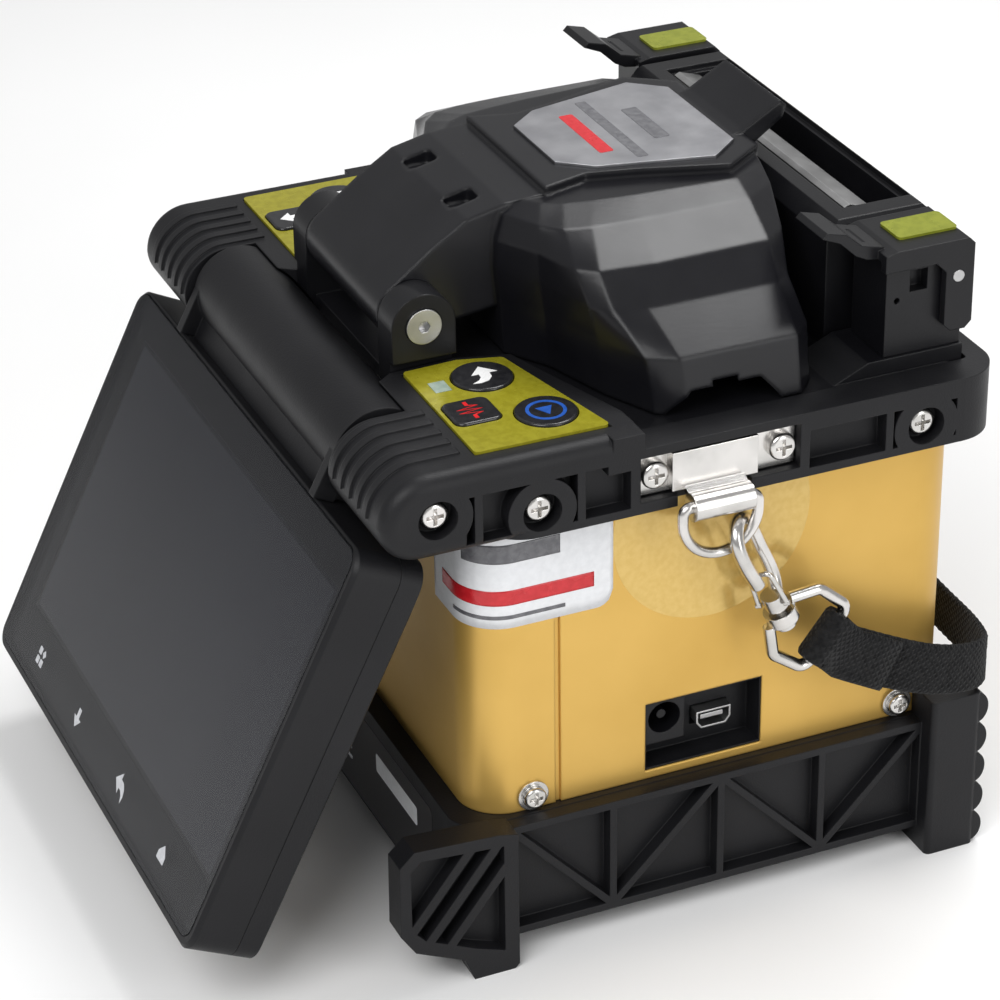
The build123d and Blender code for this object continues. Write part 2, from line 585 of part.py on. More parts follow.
with BuildPart() as hood_shell:
    for z, points in HOOD_LEVELS:
        with BuildSketch(Plane.XY.offset(z)):
            with BuildLine():
                hood_outline(points, 0)
            make_face()
    loft(ruled=True)
    # raised plateau that frames the badge
    with BuildSketch(Plane.XY.offset(137.0)):
        with BuildLine():
            Polyline(list(PLATEAU) + [(-x, y) for x, y in reversed(PLATEAU)], close=True)
        make_face()
    extrude(amount=PLATEAU_TOP - 137.0)
    # hinge arm that climbs from the knuckle to the plateau
    with BuildSketch(side_plane(-KNUCKLE_HALF_X)):
        with BuildLine():
            Polyline((HOOD_Y - 3.2, HOOD_Z + 5.8), (-41.5, 132.4), (-34.0, 137.2), (-26.0, 139.0), (-16.0, 139.6),
                     (-16.0, 133.0), (-25.8, 128.0), (-27.6, 118.0), (-38.0, 116.5), (HOOD_Y + 2.0, HOOD_Z - 6.2),
                     close=True)
        make_face()
        with Locations((HOOD_Y, HOOD_Z)):
            Circle(EAR_RADIUS)
    extrude(amount=2 * KNUCKLE_HALF_X)
    # lifting tab over the heater
    with BuildSketch(side_plane(-12.0)):
        with BuildLine():
            Polyline((26.0, 138.4), (26.0, 140.8), (28.4, 141.6), (36.6, 146.4), (38.0, 145.2), (37.2, 142.8),
                     (31.0, 138.4), close=True)
        make_face()
    extrude(amount=24.0)
    add(hood_cavity.part, mode=Mode.SUBTRACT)
    # fibre slots at the foot of both sides
    for side in (-1, 1):
        with BuildSketch(side_plane(side * 52.0)):
            with Locations((1.2, HOOD_BOTTOM)):
                Rectangle(5.4, 12.4)
        extrude(amount=side * 14, mode=Mode.SUBTRACT)
        with BuildSketch(side_plane(side * 55.0)):
            with BuildLine():
                Polyline((-11.5, HOOD_BOTTOM - 1), (-9.0, 110.2), (-6.0, 113.4), (8.6, 113.4), (11.4, 110.2),
                         (13.5, HOOD_BOTTOM - 1), close=True)
            make_face()
        extrude(amount=side * 10, mode=Mode.SUBTRACT)
    # seat of the badge
    with BuildSketch(Plane.XY.offset(PLATEAU_TOP)):
        with BuildLine():
            BADGE = ((9.9, -11.5), (15.3, -5.1), (20.6, 18.3), (14.7, 25.1))
            Polyline(list(BADGE) + [(-x, y) for x, y in reversed(BADGE)], close=True)
        make_face()
    extrude(amount=-0.5, mode=Mode.SUBTRACT)
    # sockets of the two shoulder screws, and the hollow between them
    with BuildSketch(side_plane(-KNUCKLE_HALF_X - 1)):
        with Locations((HOOD_Y, HOOD_Z)):
            Circle(2.5 + FIT)
    extrude(amount=2 * KNUCKLE_HALF_X + 2, mode=Mode.SUBTRACT)
    # two small pockets in the arm's top
    for side in (-1, 1):
        with BuildSketch(Plane.XY.offset(142.0)):
            with Locations((side * 10.2, -31.5)):
                RectangleRounded(5.4, 6.0, 1.4)
        extrude(amount=-6.6, mode=Mode.SUBTRACT)
save(hood_shell, "hood_shell")

with BuildPart() as hood_badge:
    with BuildSketch(Plane.XY.offset(PLATEAU_TOP - 0.5)):
        with BuildLine():
            Polyline(list(BADGE) + [(-x, y) for x, y in reversed(BADGE)], close=True)
        make_face()
        offset(amount=-0.1, kind=Kind.INTERSECTION)
    extrude(amount=1.0)
save(hood_badge, "hood_badge")

# ---------------------------------------------------------------- splicing stage under the cover
STAGE_TOP = 104.0
FIBRE_Z = 113.6

with BuildPart() as stage_plate:
    with BuildSketch(Plane.XY.offset(STAGE_TOP - 3)):
        with Locations((0, (WELL_FRONT_Y + WELL_REAR_Y) / 2)):
            RectangleRounded(2 * WELL_HALF_X + 8, WELL_REAR_Y - WELL_FRONT_Y + 5, 5)
    extrude(amount=3)
    with BuildSketch(Plane.XY.offset(STAGE_TOP - 4)):
        with GridLocations(66.0, 28.0, 2, 2):
            Circle(1.3)
    extrude(amount=5, mode=Mode.SUBTRACT)
save(stage_plate, "stage_plate")

CLAMP_PIN_Y, CLAMP_PIN_Z = 7.2, 114.8
for side, word in ((1, "right"), (-1, "left")):
    with BuildPart() as fibre_carrier:
        # sliding seat for the fibre's sheath, with ears for the clamp's pin at its rear
        with BuildSketch(Plane(origin=(0, 9.0, 0), x_dir=(1, 0, 0), z_dir=(0, -1, 0))):
            with Locations((side * 26.7, (STAGE_TOP + 112.6) / 2)):
                Rectangle(14.6, 112.6 - STAGE_TOP)
        extrude(amount=18.0)
        for near, far in ((19.4, 20.7), (32.3, 33.8)):
            with BuildSketch(side_plane(side * near)):
                with Locations((CLAMP_PIN_Y, 113.4)):
                    Rectangle(4.4, 2.4)
                with Locations((CLAMP_PIN_Y, CLAMP_PIN_Z)):
                    Circle(2.2)
                    Circle(0.8 + FIT, mode=Mode.SUBTRACT)
            extrude(amount=side * (far - near))
        with BuildSketch(side_plane(side * 19.0)):
            with BuildLine():
                Polyline((-0.8, 113.5), (0.8, 113.5), (0.0, 112.0), close=True)
            make_face()
        extrude(amount=side * 15.5, mode=Mode.SUBTRACT)
    save(fibre_carrier, "fibre_carrier_" + word)

with BuildPart() as v_groove_blocks:
    for side in (-1, 1):
        with BuildSketch(side_plane(side * 9.4)):
            with BuildLine():
                Polyline((-4.0, STAGE_TOP), (-4.0, 112.6), (-0.35, 112.6), (0.0, 112.1), (0.35, 112.6), (4.0, 112.6),
                         (4.0, STAGE_TOP), close=True)
            make_face()
        extrude(amount=side * 8.0)
save(v_groove_blocks, "v_groove_blocks")

with BuildPart() as electrode_holders:
    for side in (-1, 1):
        with Locations((0, side * 13.2 - 0.5, STAGE_TOP + 4.5)):
            Box(7.0, 5.4, 9.0)
        with BuildSketch(Plane.XZ.offset(0)):
            with Locations((0, 110.6)):
                Circle(1.05)
        extrude(amount=-side * 20.0, mode=Mode.SUBTRACT)
save(electrode_holders, "electrode_holders")

with BuildPart() as electrodes:
    for side in (-1, 1):
        with BuildSketch(Plane.XZ.offset(-side * 6.0)):
            with Locations((0, 110.6)):
                Circle(1.05)
        extrude(amount=-side * 10.0)
        with BuildSketch(Plane.XZ.offset(-side * 6.0)):
            with Locations((0, 110.6)):
                Circle(1.05)
        with BuildSketch(Plane.XZ.offset(-side * 1.6)):
            with Locations((0, 110.6)):
                Circle(0.12)
        loft()
save(electrodes, "electrodes")

with BuildPart() as objective_tubes:
    # two microscopes look at the joint from below, crossed at right angles
    for side in (-1, 1):
        tube_plane = Plane(origin=(0, -side * 3.6, 98.6), x_dir=(1, 0, 0), z_dir=(0, -side * 0.55, -0.84))
        with BuildSketch(tube_plane):
            Circle(2.6)
        extrude(amount=22.0)
save(objective_tubes, "objective_tubes")

for side, word in ((1, "right"), (-1, "left")):
    with BuildPart() as sheath_clamp:
        # lid that holds the fibre's sheath down on its carrier
        with BuildSketch(side_plane(side * 21.0)):
            with BuildLine():
                Polyline((-8.6, 113.0), (-8.6, 115.6), (-5.0, 116.8), (6.0, 116.8), (8.4, 116.0), (9.2, 115.2),
                         (9.0, 113.9), (8.1, 113.0), close=True)
            make_face()
        extrude(amount=side * 11.0)
        with BuildSketch(side_plane(side * 24.0)):
            with BuildLine():
                Polyline((-8.0, 115.0), (-8.0, 116.0), (-12.6, 117.6), (-12.6, 116.4), close=True)
            make_face()
        extrude(amount=side * 5.0)
        with BuildSketch(side_plane(side * 20.0)):
            with Locations((CLAMP_PIN_Y, CLAMP_PIN_Z)):
                Circle(0.8)
        extrude(amount=side * 13.0)
    save(sheath_clamp, "sheath_clamp_" + word)

with BuildPart() as hood_lamps:
    # row of white lamps and their board on the inside of the cover's front wall
    with BuildSketch(Plane.XY.offset(133.2)):
        with Locations((0, 2.0)):
            Rectangle(30.0, 8.0)
    extrude(amount=1.4)
    with BuildSketch(Plane.XY.offset(132.0)):
        with Locations((0, 2.0)):
            with GridLocations(8.0, 1.0, 3, 1):
                RectangleRounded(3.4, 3.0, 0.5)
    extrude(amount=1.3)
save(hood_lamps, "hood_lamps")

# ---------------------------------------------------------------- tube heater
TROUGH_HALF_X = 37.4
TROUGH_Y = (43.6, 50.0)
TROUGH_FLOOR = 122.0
BAR_Y = (37.6, 43.6)

with BuildPart() as heater_housing:
    with BuildSketch(side_plane(-HEATER_HALF_X)):
        with BuildLine():
            Polyline((HEATER_FRONT_Y, DECK_TOP), (HEATER_FRONT_Y, 131.0), (33.0, HEATER_TOP),
                     (HEATER_REAR_Y - 1.4, HEATER_TOP), (HEATER_REAR_Y, HEATER_TOP - 1.4), (HEATER_REAR_Y, DECK_TOP),
                     close=True)
        make_face()
    extrude(amount=2 * HEATER_HALF_X)
    chamfer(heater_housing.edges().filter_by(Axis.Y).group_by(Axis.Z)[-1], 0.9)
    # shallow frame round the bar and the trough
    with BuildSketch(Plane.XY.offset(HEATER_TOP)):
        with Locations((0, (BAR_Y[0] + TROUGH_Y[1]) / 2)):
            Rectangle(2 * TROUGH_HALF_X + 3, TROUGH_Y[1] - BAR_Y[0] + 2.4)
    extrude(amount=-1.2, mode=Mode.SUBTRACT)
    with BuildSketch(Plane.XY.offset(HEATER_TOP)):
        with Locations((0, sum(TROUGH_Y) / 2)):
            Rectangle(2 * TROUGH_HALF_X, TROUGH_Y[1] - TROUGH_Y[0])
    extrude(amount=TROUGH_FLOOR - HEATER_TOP, mode=Mode.SUBTRACT)
    with BuildSketch(Plane.XY.offset(HEATER_TOP)):
        with Locations((0, sum(BAR_Y) / 2)):
            Rectangle(2 * TROUGH_HALF_X, BAR_Y[1] - BAR_Y[0])
    extrude(amount=-5.0, mode=Mode.SUBTRACT)
save(heater_housing, "heater_housing")

with BuildPart() as heater_bar:
    # warm metal bar along the trough, sloping towards it
    with BuildSketch(side_plane(-TROUGH_HALF_X)):
        with BuildLine():
            Polyline((BAR_Y[0], HEATER_TOP - 5.0), (BAR_Y[0], 133.4), (BAR_Y[0] + 1.2, 133.9), (BAR_Y[1], 132.4),
                     (BAR_Y[1], HEATER_TOP - 5.0), close=True)
        make_face()
    extrude(amount=2 * TROUGH_HALF_X)
save(heater_bar, "heater_bar")

with BuildPart() as heater_clamp_blocks:
    for side in (-1, 1):
        with BuildSketch(side_plane(side * 46.6)):
            with BuildLine():
                Polyline((35.0, 111.4), (35.0, 131.0), (50.6, 131.0), (51.6, 130.0), (51.6, 111.4), close=True)
            make_face()
        extrude(amount=side * (59.4 - 46.6))
        # square window for the magnet and the hole of the hinge pin
        with BuildSketch(side_plane(side * 59.4)):
            with Locations((42.0, 126.6)):
                Rectangle(3.8, 4.4)
        extrude(amount=-side * 2.5, mode=Mode.SUBTRACT)
        with BuildSketch(side_plane(side * 59.4)):
            with Locations((LID_PIN_Y, LID_PIN_Z)):
                Circle(1.2)
            with Locations((37.4, 123.0)):
                Circle(0.6)
        extrude(amount=-side * 14, mode=Mode.SUBTRACT)
save(heater_clamp_blocks, "heater_clamp_blocks")

with BuildPart() as heater_lid_pins:
    for side in (-1, 1):
        with BuildSketch(side_plane(side * 46.7)):
            with Locations((LID_PIN_Y, LID_PIN_Z)):
                Circle(1.2)
        extrude(amount=side * (LID_OUTER_X + 0.1 - 46.7))
save(heater_lid_pins, "heater_lid_pins")

for side, word in ((1, "right"), (-1, "left")):
    with BuildPart() as heater_lid:
        # roof plate with the finger tab in one bent profile
        with BuildSketch(side_plane(side * LID_INNER_X)):
            with BuildLine():
                Polyline((33.4, LID_UNDER), (33.4, LID_TOP - 0.6), (36.0, LID_TOP), (51.4, LID_TOP), (52.6, LID_TOP - 1.2),
                         (52.6, LID_UNDER), close=True)
            make_face()
        extrude(amount=side * (LID_OUTER_X - LID_INNER_X))
        with BuildSketch(side_plane(side * 47.6)):
            with BuildLine():
                Polyline((34.0, LID_UNDER), (34.6, LID_TOP), (30.0, 135.6), (26.4, 138.6), (22.4, 139.6), (21.4, 138.6),
                         (25.2, 137.0), (28.6, 133.8), (31.0, 132.6), close=True)
            make_face()
        extrude(amount=side * 11.0)
        # outer cheek: rim along the top and a leg that turns on the pin
        with BuildSketch(side_plane(side * 59.9)):
            with BuildLine():
                Polyline((33.4, LID_UNDER + 0.5), (33.4, 130.4), (44.4, 130.4), (46.6, 128.2), (46.6, 117.0), (48.0, 115.6),
                         (51.2, 115.6), (52.6, 117.0), (52.6, LID_UNDER + 0.5), close=True)
            make_face()
            with Locations((LID_PIN_Y, LID_PIN_Z)):
                Circle(1.2 + FIT, mode=Mode.SUBTRACT)
        extrude(amount=side * (LID_OUTER_X - 59.9))
        # grip dimples on the tab
        for i in range(3):
            with BuildSketch(side_plane(side * 50.0)):
                with Locations((27.4 + 2.0 * i, 138.5 - 1.45 * i)):
                    Circle(0.55)
            extrude(amount=side * 6.4, mode=Mode.SUBTRACT)
    save(heater_lid, "heater_lid_" + word)
    with BuildPart() as lid_label:
        with BuildSketch(Plane.XY.offset(LID_TOP)):
            with Locations((side * 53.2, 45.0)):
                RectangleRounded(8.0, 12.8, 0.9)
        extrude(amount=0.5)
    save(lid_label, "heater_lid_label_" + word)

# ---------------------------------------------------------------- monitor
LEAN = radians(TILT_ANGLE)


def panel_plane(t):
    """Plane of the leaning panel at distance t in front of the hinge axis: y runs down the panel."""
    origin = (0, TILT_Y - t * cos(LEAN), TILT_Z + t * sin(LEAN))
    return Plane(origin=origin, x_dir=(-1, 0, 0), z_dir=(0, -cos(LEAN), sin(LEAN)))


CASE_MID_S = (CASE_TOP_S + CASE_BOTTOM_S) / 2
CASE_LONG = CASE_BOTTOM_S - CASE_TOP_S
GLASS_S = (12.6, 96.8)         # top and bottom edges of the glass
GLASS_HALF_X = 61.2
DISPLAY_S = 53.0               # middle of the lit area down the panel
DISPLAY_X = 2.07
DISPLAY_SIZE = (110.7, 62.3)

with BuildPart() as monitor_bezel:
    with BuildSketch(panel_plane(SEAM_T)):
        with Locations((0, CASE_MID_S)):
            RectangleRounded(2 * CASE_HALF_X, CASE_LONG, 4.5)
    extrude(amount=GLASS_T - 0.1 - SEAM_T)
    chamfer(monitor_bezel.faces().sort_by(Axis((0, 0, 0), tuple(panel_plane(0).z_dir)))[-1].edges(), 0.8)
    with BuildSketch(panel_plane(GLASS_T - 1.2)):
        with Locations((0, sum(GLASS_S) / 2)):
            RectangleRounded(2 * GLASS_HALF_X + 0.3, GLASS_S[1] - GLASS_S[0] + 0.3, 3.2)
    extrude(amount=3, mode=Mode.SUBTRACT)
    with BuildSketch(panel_plane(SEAM_T)):
        with Locations((0, CASE_MID_S)):
            RectangleRounded(2 * CASE_HALF_X - 5.0, CASE_LONG - 5.4, 2.6)
    extrude(amount=GLASS_T - 2.4 - SEAM_T, mode=Mode.SUBTRACT)
    with BuildSketch(panel_plane(SEAM_T)):
        with Locations((-DISPLAY_X, DISPLAY_S)):
            Rectangle(DISPLAY_SIZE[0] + 2, DISPLAY_SIZE[1] + 2)
    extrude(amount=20, mode=Mode.SUBTRACT)
save(monitor_bezel, "monitor_bezel")

with BuildPart() as monitor_glass:
    with BuildSketch(panel_plane(GLASS_T - 1.2)):
        with Locations((0, sum(GLASS_S) / 2)):
            RectangleRounded(2 * GLASS_HALF_X, GLASS_S[1] - GLASS_S[0], 3.0)
    extrude(amount=1.2)
save(monitor_glass, "monitor_glass")

with BuildPart() as monitor_display:
    with BuildSketch(panel_plane(4.4)):
        with Locations((-DISPLAY_X, DISPLAY_S)):
            Rectangle(*DISPLAY_SIZE)
    extrude(amount=GLASS_T - 1.25 - 4.4)
save(monitor_display, "monitor_display")

with BuildPart() as monitor_rear_case:
    with BuildSketch(panel_plane(SEAM_T - 0.1)):
        with Locations((0, CASE_MID_S)):
            RectangleRounded(2 * CASE_HALF_X, CASE_LONG, 4.5)
    extrude(amount=-4.6)
    with BuildSketch(panel_plane(SEAM_T - 4.7)):
        with Locations((0, CASE_MID_S)):
            RectangleRounded(2 * CASE_HALF_X, CASE_LONG, 4.5)
    with BuildSketch(panel_plane(CASE_BACK_T)):
        with Locations((0, CASE_MID_S)):
            RectangleRounded(2 * CASE_HALF_X - 9.0, CASE_LONG - 8.0, 6.0)
    loft()
    with BuildSketch(panel_plane(SEAM_T - 0.1)):
        with Locations((0, CASE_MID_S)):
            RectangleRounded(2 * CASE_HALF_X - 12.0, CASE_LONG - 12.0, 3.0)
    extrude(amount=CASE_BACK_T + 2.2 - SEAM_T, mode=Mode.SUBTRACT)
save(monitor_rear_case, "monitor_rear_case")

with BuildPart() as monitor_barrel:
    with BuildSketch(side_plane(-BARREL_HALF_X)):
        with Locations((TILT_Y, TILT_Z)):
            Circle(BARREL_RADIUS)
    extrude(amount=2 * BARREL_HALF_X)
    # web from the barrel to the top of the case
    with BuildSketch(panel_plane(-5.4)):
        with Locations((0, (6.0 + CASE_TOP_S) / 2)):
            Rectangle(2 * BARREL_HALF_X - 5, CASE_TOP_S - 6.0)
    extrude(amount=11.4)
    # three-cornered fins where the web meets the barrel's ends
    for side in (-1, 1):
        with BuildSketch(side_plane(side * (BARREL_HALF_X - 2.5))):
            with BuildLine(Plane(origin=(TILT_Y, TILT_Z, 0), x_dir=(-sin(LEAN), -cos(LEAN), 0), z_dir=(0, 0, -1))):
                Polyline((2.0, 9.2), (11.8, 9.4), (11.8, 5.0), (6.0, 4.0), close=True)
            make_face()
        extrude(amount=side * 2.4)
    with BuildSketch(side_plane(-BARREL_HALF_X - 1)):
        with Locations((TILT_Y, TILT_Z)):
            Circle(3.0)
    extrude(amount=2 * BARREL_HALF_X + 2, mode=Mode.SUBTRACT)
save(monitor_barrel, "monitor_barrel")

with BuildPart() as monitor_shaft:
    with BuildSketch(side_plane(-WING_INNER_X - 6)):
        with Locations((TILT_Y, TILT_Z)):
            Circle(3.0)
    extrude(amount=2 * WING_INNER_X + 12)
save(monitor_shaft, "monitor_shaft")

# ---------------------------------------------------------------- screws
FRAME_SCREWS = tuple(zip(BOSSES_Y, (TILT_Z, 99.7, 99.7)))


def cross_recess(radius, depth, side, x, y, z):
    """Cross-shaped driver recess in a screw head that faces out along X."""
    with BuildPart(mode=Mode.PRIVATE) as recess:
        with BuildSketch(side_plane(x)):
            with Locations((y, z)):
                Rectangle(2 * radius, 0.7)
                Rectangle(0.7, 2 * radius)
        extrude(amount=-side * depth)
    return recess.part


def screw(side, x, y, z, head_radius, head_height, shank_radius, shank_length, washer=0.0):
    """Round-headed cross-recess screw whose seat lies at x, with an optional washer under its head."""
    with BuildPart(mode=Mode.PRIVATE) as piece:
        with BuildSketch(side_plane(x)):
            with Locations((y, z)):
                Circle(shank_radius)
        extrude(amount=-side * shank_length)
        if washer:
            with BuildSketch(side_plane(x)):
                with Locations((y, z)):
                    Circle(washer)
            extrude(amount=side * 0.7)
            x += side * 0.7
        with BuildSketch(side_plane(x)):
            with Locations((y, z)):
                Circle(head_radius)
        extrude(amount=side * head_height)
        top = piece.faces().sort_by(Axis.X)[-1 if side > 0 else 0]
        fillet(top.edges(), head_height * 0.45)
        add(cross_recess(head_radius * 0.6, head_height * 0.6, side, x + side * head_height, y, z), mode=Mode.SUBTRACT)
    return piece.part


with BuildPart() as frame_screws:
    for side in (-1, 1):
        for y, z in FRAME_SCREWS:
            add(screw(side, side * 64.4, y, z, 2.8, 2.2, 1.45, 3.2))
save(frame_screws, "frame_screws")

with BuildPart() as body_screws:
    for side in (-1, 1):
        for y in BODY_SCREWS_Y:
            add(screw(side, side * BODY_HALF_X, y, BODY_SCREW_Z, 2.3, 1.5, 1.4, 4.0, washer=3.2))
save(body_screws, "body_screws")

# ---------------------------------------------------------------- strap hardware
CURL_RADIUS = 2.8
CURL_HALF = 6.2
CROSS_SECTION = dict(x_dir=(1, 0, 0), z_dir=(0, -1, 0))   # planes across Y, extruded towards -Y

with BuildPart() as bracket_right:
    with BuildSketch(side_plane(64.65)):
        with Locations((BRACKET_Y, 101.6)):
            Rectangle(33.0, 8.8)
        with Locations(*[(y, 101.7) for y in BRACKET_SCREWS_Y]):
            Circle(1.6, mode=Mode.SUBTRACT)
    extrude(amount=1.1)
    with BuildSketch(side_plane(65.75)):
        with Locations((RING_Y, 102.0)):
            Rectangle(17.8, 8.0)
            Rectangle(15.6, 9.0, mode=Mode.SUBTRACT)
    extrude(amount=1.3)
    with BuildSketch(side_plane(67.05)):
        with Locations((RING_Y, 102.0)):
            Rectangle(17.8, 8.0)
    extrude(amount=1.1)
    # tongue that curls round the D-ring's bar
    with BuildSketch(Plane(origin=(0, RING_Y + CURL_HALF, 0), **CROSS_SECTION)):
        with BuildLine():
            Polyline((67.05, 100.0), (68.15, 100.0), (68.15, 98.6), (69.4, 97.7), (RING_X, 98.0), (RING_X, 96.6),
                     (68.6, 96.4), (67.05, 98.0), close=True)
        make_face()
        with Locations((RING_X, RING_Z)):
            Circle(CURL_RADIUS)
            Circle(WIRE + FIT, mode=Mode.SUBTRACT)
    extrude(amount=2 * CURL_HALF)

with BuildPart() as strap_brackets:
    add(bracket_right.part)
    mirror(bracket_right.part, about=Plane.YZ)
save(strap_brackets, "strap_brackets")

with BuildPart() as bracket_screws:
    for side in (-1, 1):
        for y in BRACKET_SCREWS_Y:
            add(screw(side, side * 65.75, y, 101.7, 2.8, 2.0, 1.45, 4.6))
save(bracket_screws, "bracket_screws")

RING_HALF = 7.9
RING_BEND = 1.6
RING_LOW = 92.2

with BuildPart() as ring_right:
    with BuildLine(side_plane(RING_X)) as ring_path:
        Line((RING_Y - RING_HALF + RING_BEND, RING_Z), (RING_Y + RING_HALF - RING_BEND, RING_Z))
        JernArc((RING_Y + RING_HALF - RING_BEND, RING_Z), (1, 0), RING_BEND, -90)
        Line((RING_Y + RING_HALF, RING_Z - RING_BEND), (RING_Y + RING_HALF, RING_LOW))
        JernArc((RING_Y + RING_HALF, RING_LOW), (0, -1), RING_HALF, -180)
        Line((RING_Y - RING_HALF, RING_LOW), (RING_Y - RING_HALF, RING_Z - RING_BEND))
        JernArc((RING_Y - RING_HALF, RING_Z - RING_BEND), (0, 1), RING_BEND, -90)
    with BuildSketch(Plane(origin=(RING_X, RING_Y - RING_HALF + RING_BEND, RING_Z), z_dir=(0, 1, 0))):
        Circle(WIRE)
    sweep()

# snap hook: local x runs down the hook, local y towards the arm that opens
HOOK_DOWN = Vector(0, 0.407, -0.914).normalized()
HOOK_OPEN = Vector(0.75, -0.6045, -0.2692).normalized()
HOOK_EYE = Vector(RING_X, 0.28, 85.69)
EYE_RADIUS = 4.2
HOOK_WIRE = 1.4
hook_plane = Plane(origin=HOOK_EYE, x_dir=HOOK_DOWN, z_dir=HOOK_DOWN.cross(HOOK_OPEN))

with BuildPart() as hook_right:
    with BuildLine(hook_plane) as hook_path:
        Spline((9.2, 3.4), (4.8, 4.1), (0, EYE_RADIUS), (-2.97, 2.97), (-EYE_RADIUS, 0), (-2.97, -2.97),
               (0, -EYE_RADIUS), (6.0, -EYE_RADIUS), (12.0, -EYE_RADIUS), (15.4, -2.6), (16.4, -0.6))
    with BuildSketch(Plane(origin=hook_path.wires()[0] @ 0, z_dir=hook_path.wires()[0] % 0)):
        Circle(HOOK_WIRE)
    sweep()
    for start, length, radius in ((14.8, 3.2, 2.4), (18.0, 4.0, 1.2), (22.0, 1.2, 2.1)):
        with BuildSketch(Plane(origin=HOOK_EYE + HOOK_DOWN * start, z_dir=HOOK_DOWN)):
            Circle(radius)
        extrude(amount=length)

with BuildPart() as gate_right:
    with BuildLine(hook_plane) as gate_path:
        FilletPolyline((16.2, 1.4, 2.95), (8.4, 1.2, 2.2), (8.4, 1.2, -2.2), (16.2, 1.4, -2.95), radius=1.0)
    with BuildSketch(Plane(origin=gate_path.wires()[0] @ 0, z_dir=gate_path.wires()[0] % 0)):
        Circle(0.5)
    sweep()

with gate_right:
    for near, far in ((2.35, 3.5), (-2.35, -3.5)):
        with BuildSketch(hook_plane.offset(near)):
            with Locations((16.2, 1.4)):
                Circle(0.55)
        extrude(amount=far - near)

# swivel loop: local x runs from the eyelet towards the strap, local y along the strap's bar
LOOP_OUT = Vector(0, 0.786, -0.617).normalized()
LOOP_BAR = Vector(0, 0.617, 0.786).normalized()
EYELET_AT = 20.2
BAR_OUT = 12.6
loop_plane = Plane(origin=HOOK_EYE + HOOK_DOWN * EYELET_AT, x_dir=LOOP_OUT, z_dir=LOOP_OUT.cross(LOOP_BAR))

with BuildPart() as swivel_right:
    with BuildSketch(Plane(origin=HOOK_EYE + HOOK_DOWN * (EYELET_AT - 1.35), z_dir=HOOK_DOWN)):
        Circle(3.3)
        Circle(1.2 + FIT, mode=Mode.SUBTRACT)
    extrude(amount=2.7)
    with BuildLine(loop_plane) as loop_path:
        FilletPolyline((-0.6, -3.4), (4.2, -7.9), (BAR_OUT, -7.5), (BAR_OUT, 7.5), (4.2, 7.9), (-0.6, 3.4), radius=2.2)
    with BuildSketch(Plane(origin=loop_path.wires()[0] @ 0, z_dir=loop_path.wires()[0] % 0)):
        Circle(1.25)
    sweep()

for builder, name in ((ring_right, "d_ring"), (hook_right, "snap_hook"), (gate_right, "hook_gate"),
                      (swivel_right, "swivel")):
    save(builder, name + "_right")
    with BuildPart() as left_copy:
        mirror(builder.part, about=Plane.YZ)
    save(left_copy, name + "_left")

# ---------------------------------------------------------------- carry strap
STRAP_ROUTE = [
    (70.6, 21.5, 55.9), (71.3, 33.5, 49.6), (71.5, 45.5, 44.9), (69.0, 56.6, 42.6), (58.5, 60.6, 40.6),
    (43.0, 61.4, 39.9), (26.0, 61.8, 40.6), (8.5, 62.2, 41.0), (-9.5, 62.0, 40.8), (-27.0, 61.5, 40.2),
    (-43.5, 61.2, 40.0), (-58.7, 60.5, 40.8), (-69.0, 56.4, 42.7), (-71.4, 45.1, 45.1), (-71.2, 33.2, 49.8),
    (-70.6, 21.5, 55.9),
]


def route_radii(points):
    """Largest tidy arc at each inner point of a route: 0.45 of the shorter run over tan(half turn)."""
    radii = []
    for before, here, after in zip(points, points[1:], points[2:]):
        run_in, run_out = Vector(here) - Vector(before), Vector(after) - Vector(here)
        turn = radians(run_in.get_angle(run_out))
        radii.append(0.45 * min(run_in.length, run_out.length) / (sin(turn / 2) / cos(turn / 2)))
    return radii


strap_radii = route_radii(STRAP_ROUTE)
strap_line = FilletPolyline(*STRAP_ROUTE, radius=strap_radii)
STRAP_STATIONS = 60

with BuildPart() as strap:
    for i in range(STRAP_STATIONS + 1):
        t = i / STRAP_STATIONS
        along = strap_line % t
        across = (Vector(0, 0, 1) - along * along.Z).normalized()
        with BuildSketch(Plane(origin=strap_line @ t, x_dir=across, z_dir=along)):
            Rectangle(STRAP_WIDTH, STRAP_THICKNESS)
    loft(ruled=True)
save(strap, "strap")

# ---------------------------------------------------------------- inside the body
with BuildPart() as main_board:
    with BuildSketch(Plane.XY.offset(62.0)):
        Rectangle(106.0, 86.0)
        with GridLocations(96.0, 76.0, 2, 2):
            Circle(1.6, mode=Mode.SUBTRACT)
    extrude(amount=1.6)
    # spacers that hang the board under the deck
    with BuildSketch(Plane.XY.offset(63.6)):
        with GridLocations(100.0, 44.0, 2, 2):
            Circle(2.2)
    extrude(amount=DECK_UNDER - 63.6)
    with BuildSketch(Plane.XY.offset(63.6)):
        with Locations((-20.0, 12.0)):
            Rectangle(22.0, 22.0)
        with Locations((14.0, -18.0)):
            Rectangle(16.0, 10.0)
        with Locations((-24.0, -22.0)):
            Rectangle(12.0, 18.0)
    extrude(amount=2.2)
save(main_board, "main_board")

CELL_RADIUS, CELL_LENGTH = 9.0, 65.0
with BuildPart() as battery_pack:
    with BuildSketch(Plane(origin=(0, -CELL_LENGTH / 2, 0), x_dir=(1, 0, 0), z_dir=(0, 1, 0))):
        with GridLocations(17.9, 1, 5, 1):
            with Locations((0, -21.0)):
                Circle(CELL_RADIUS)
    extrude(amount=CELL_LENGTH)
save(battery_pack, "battery_pack")

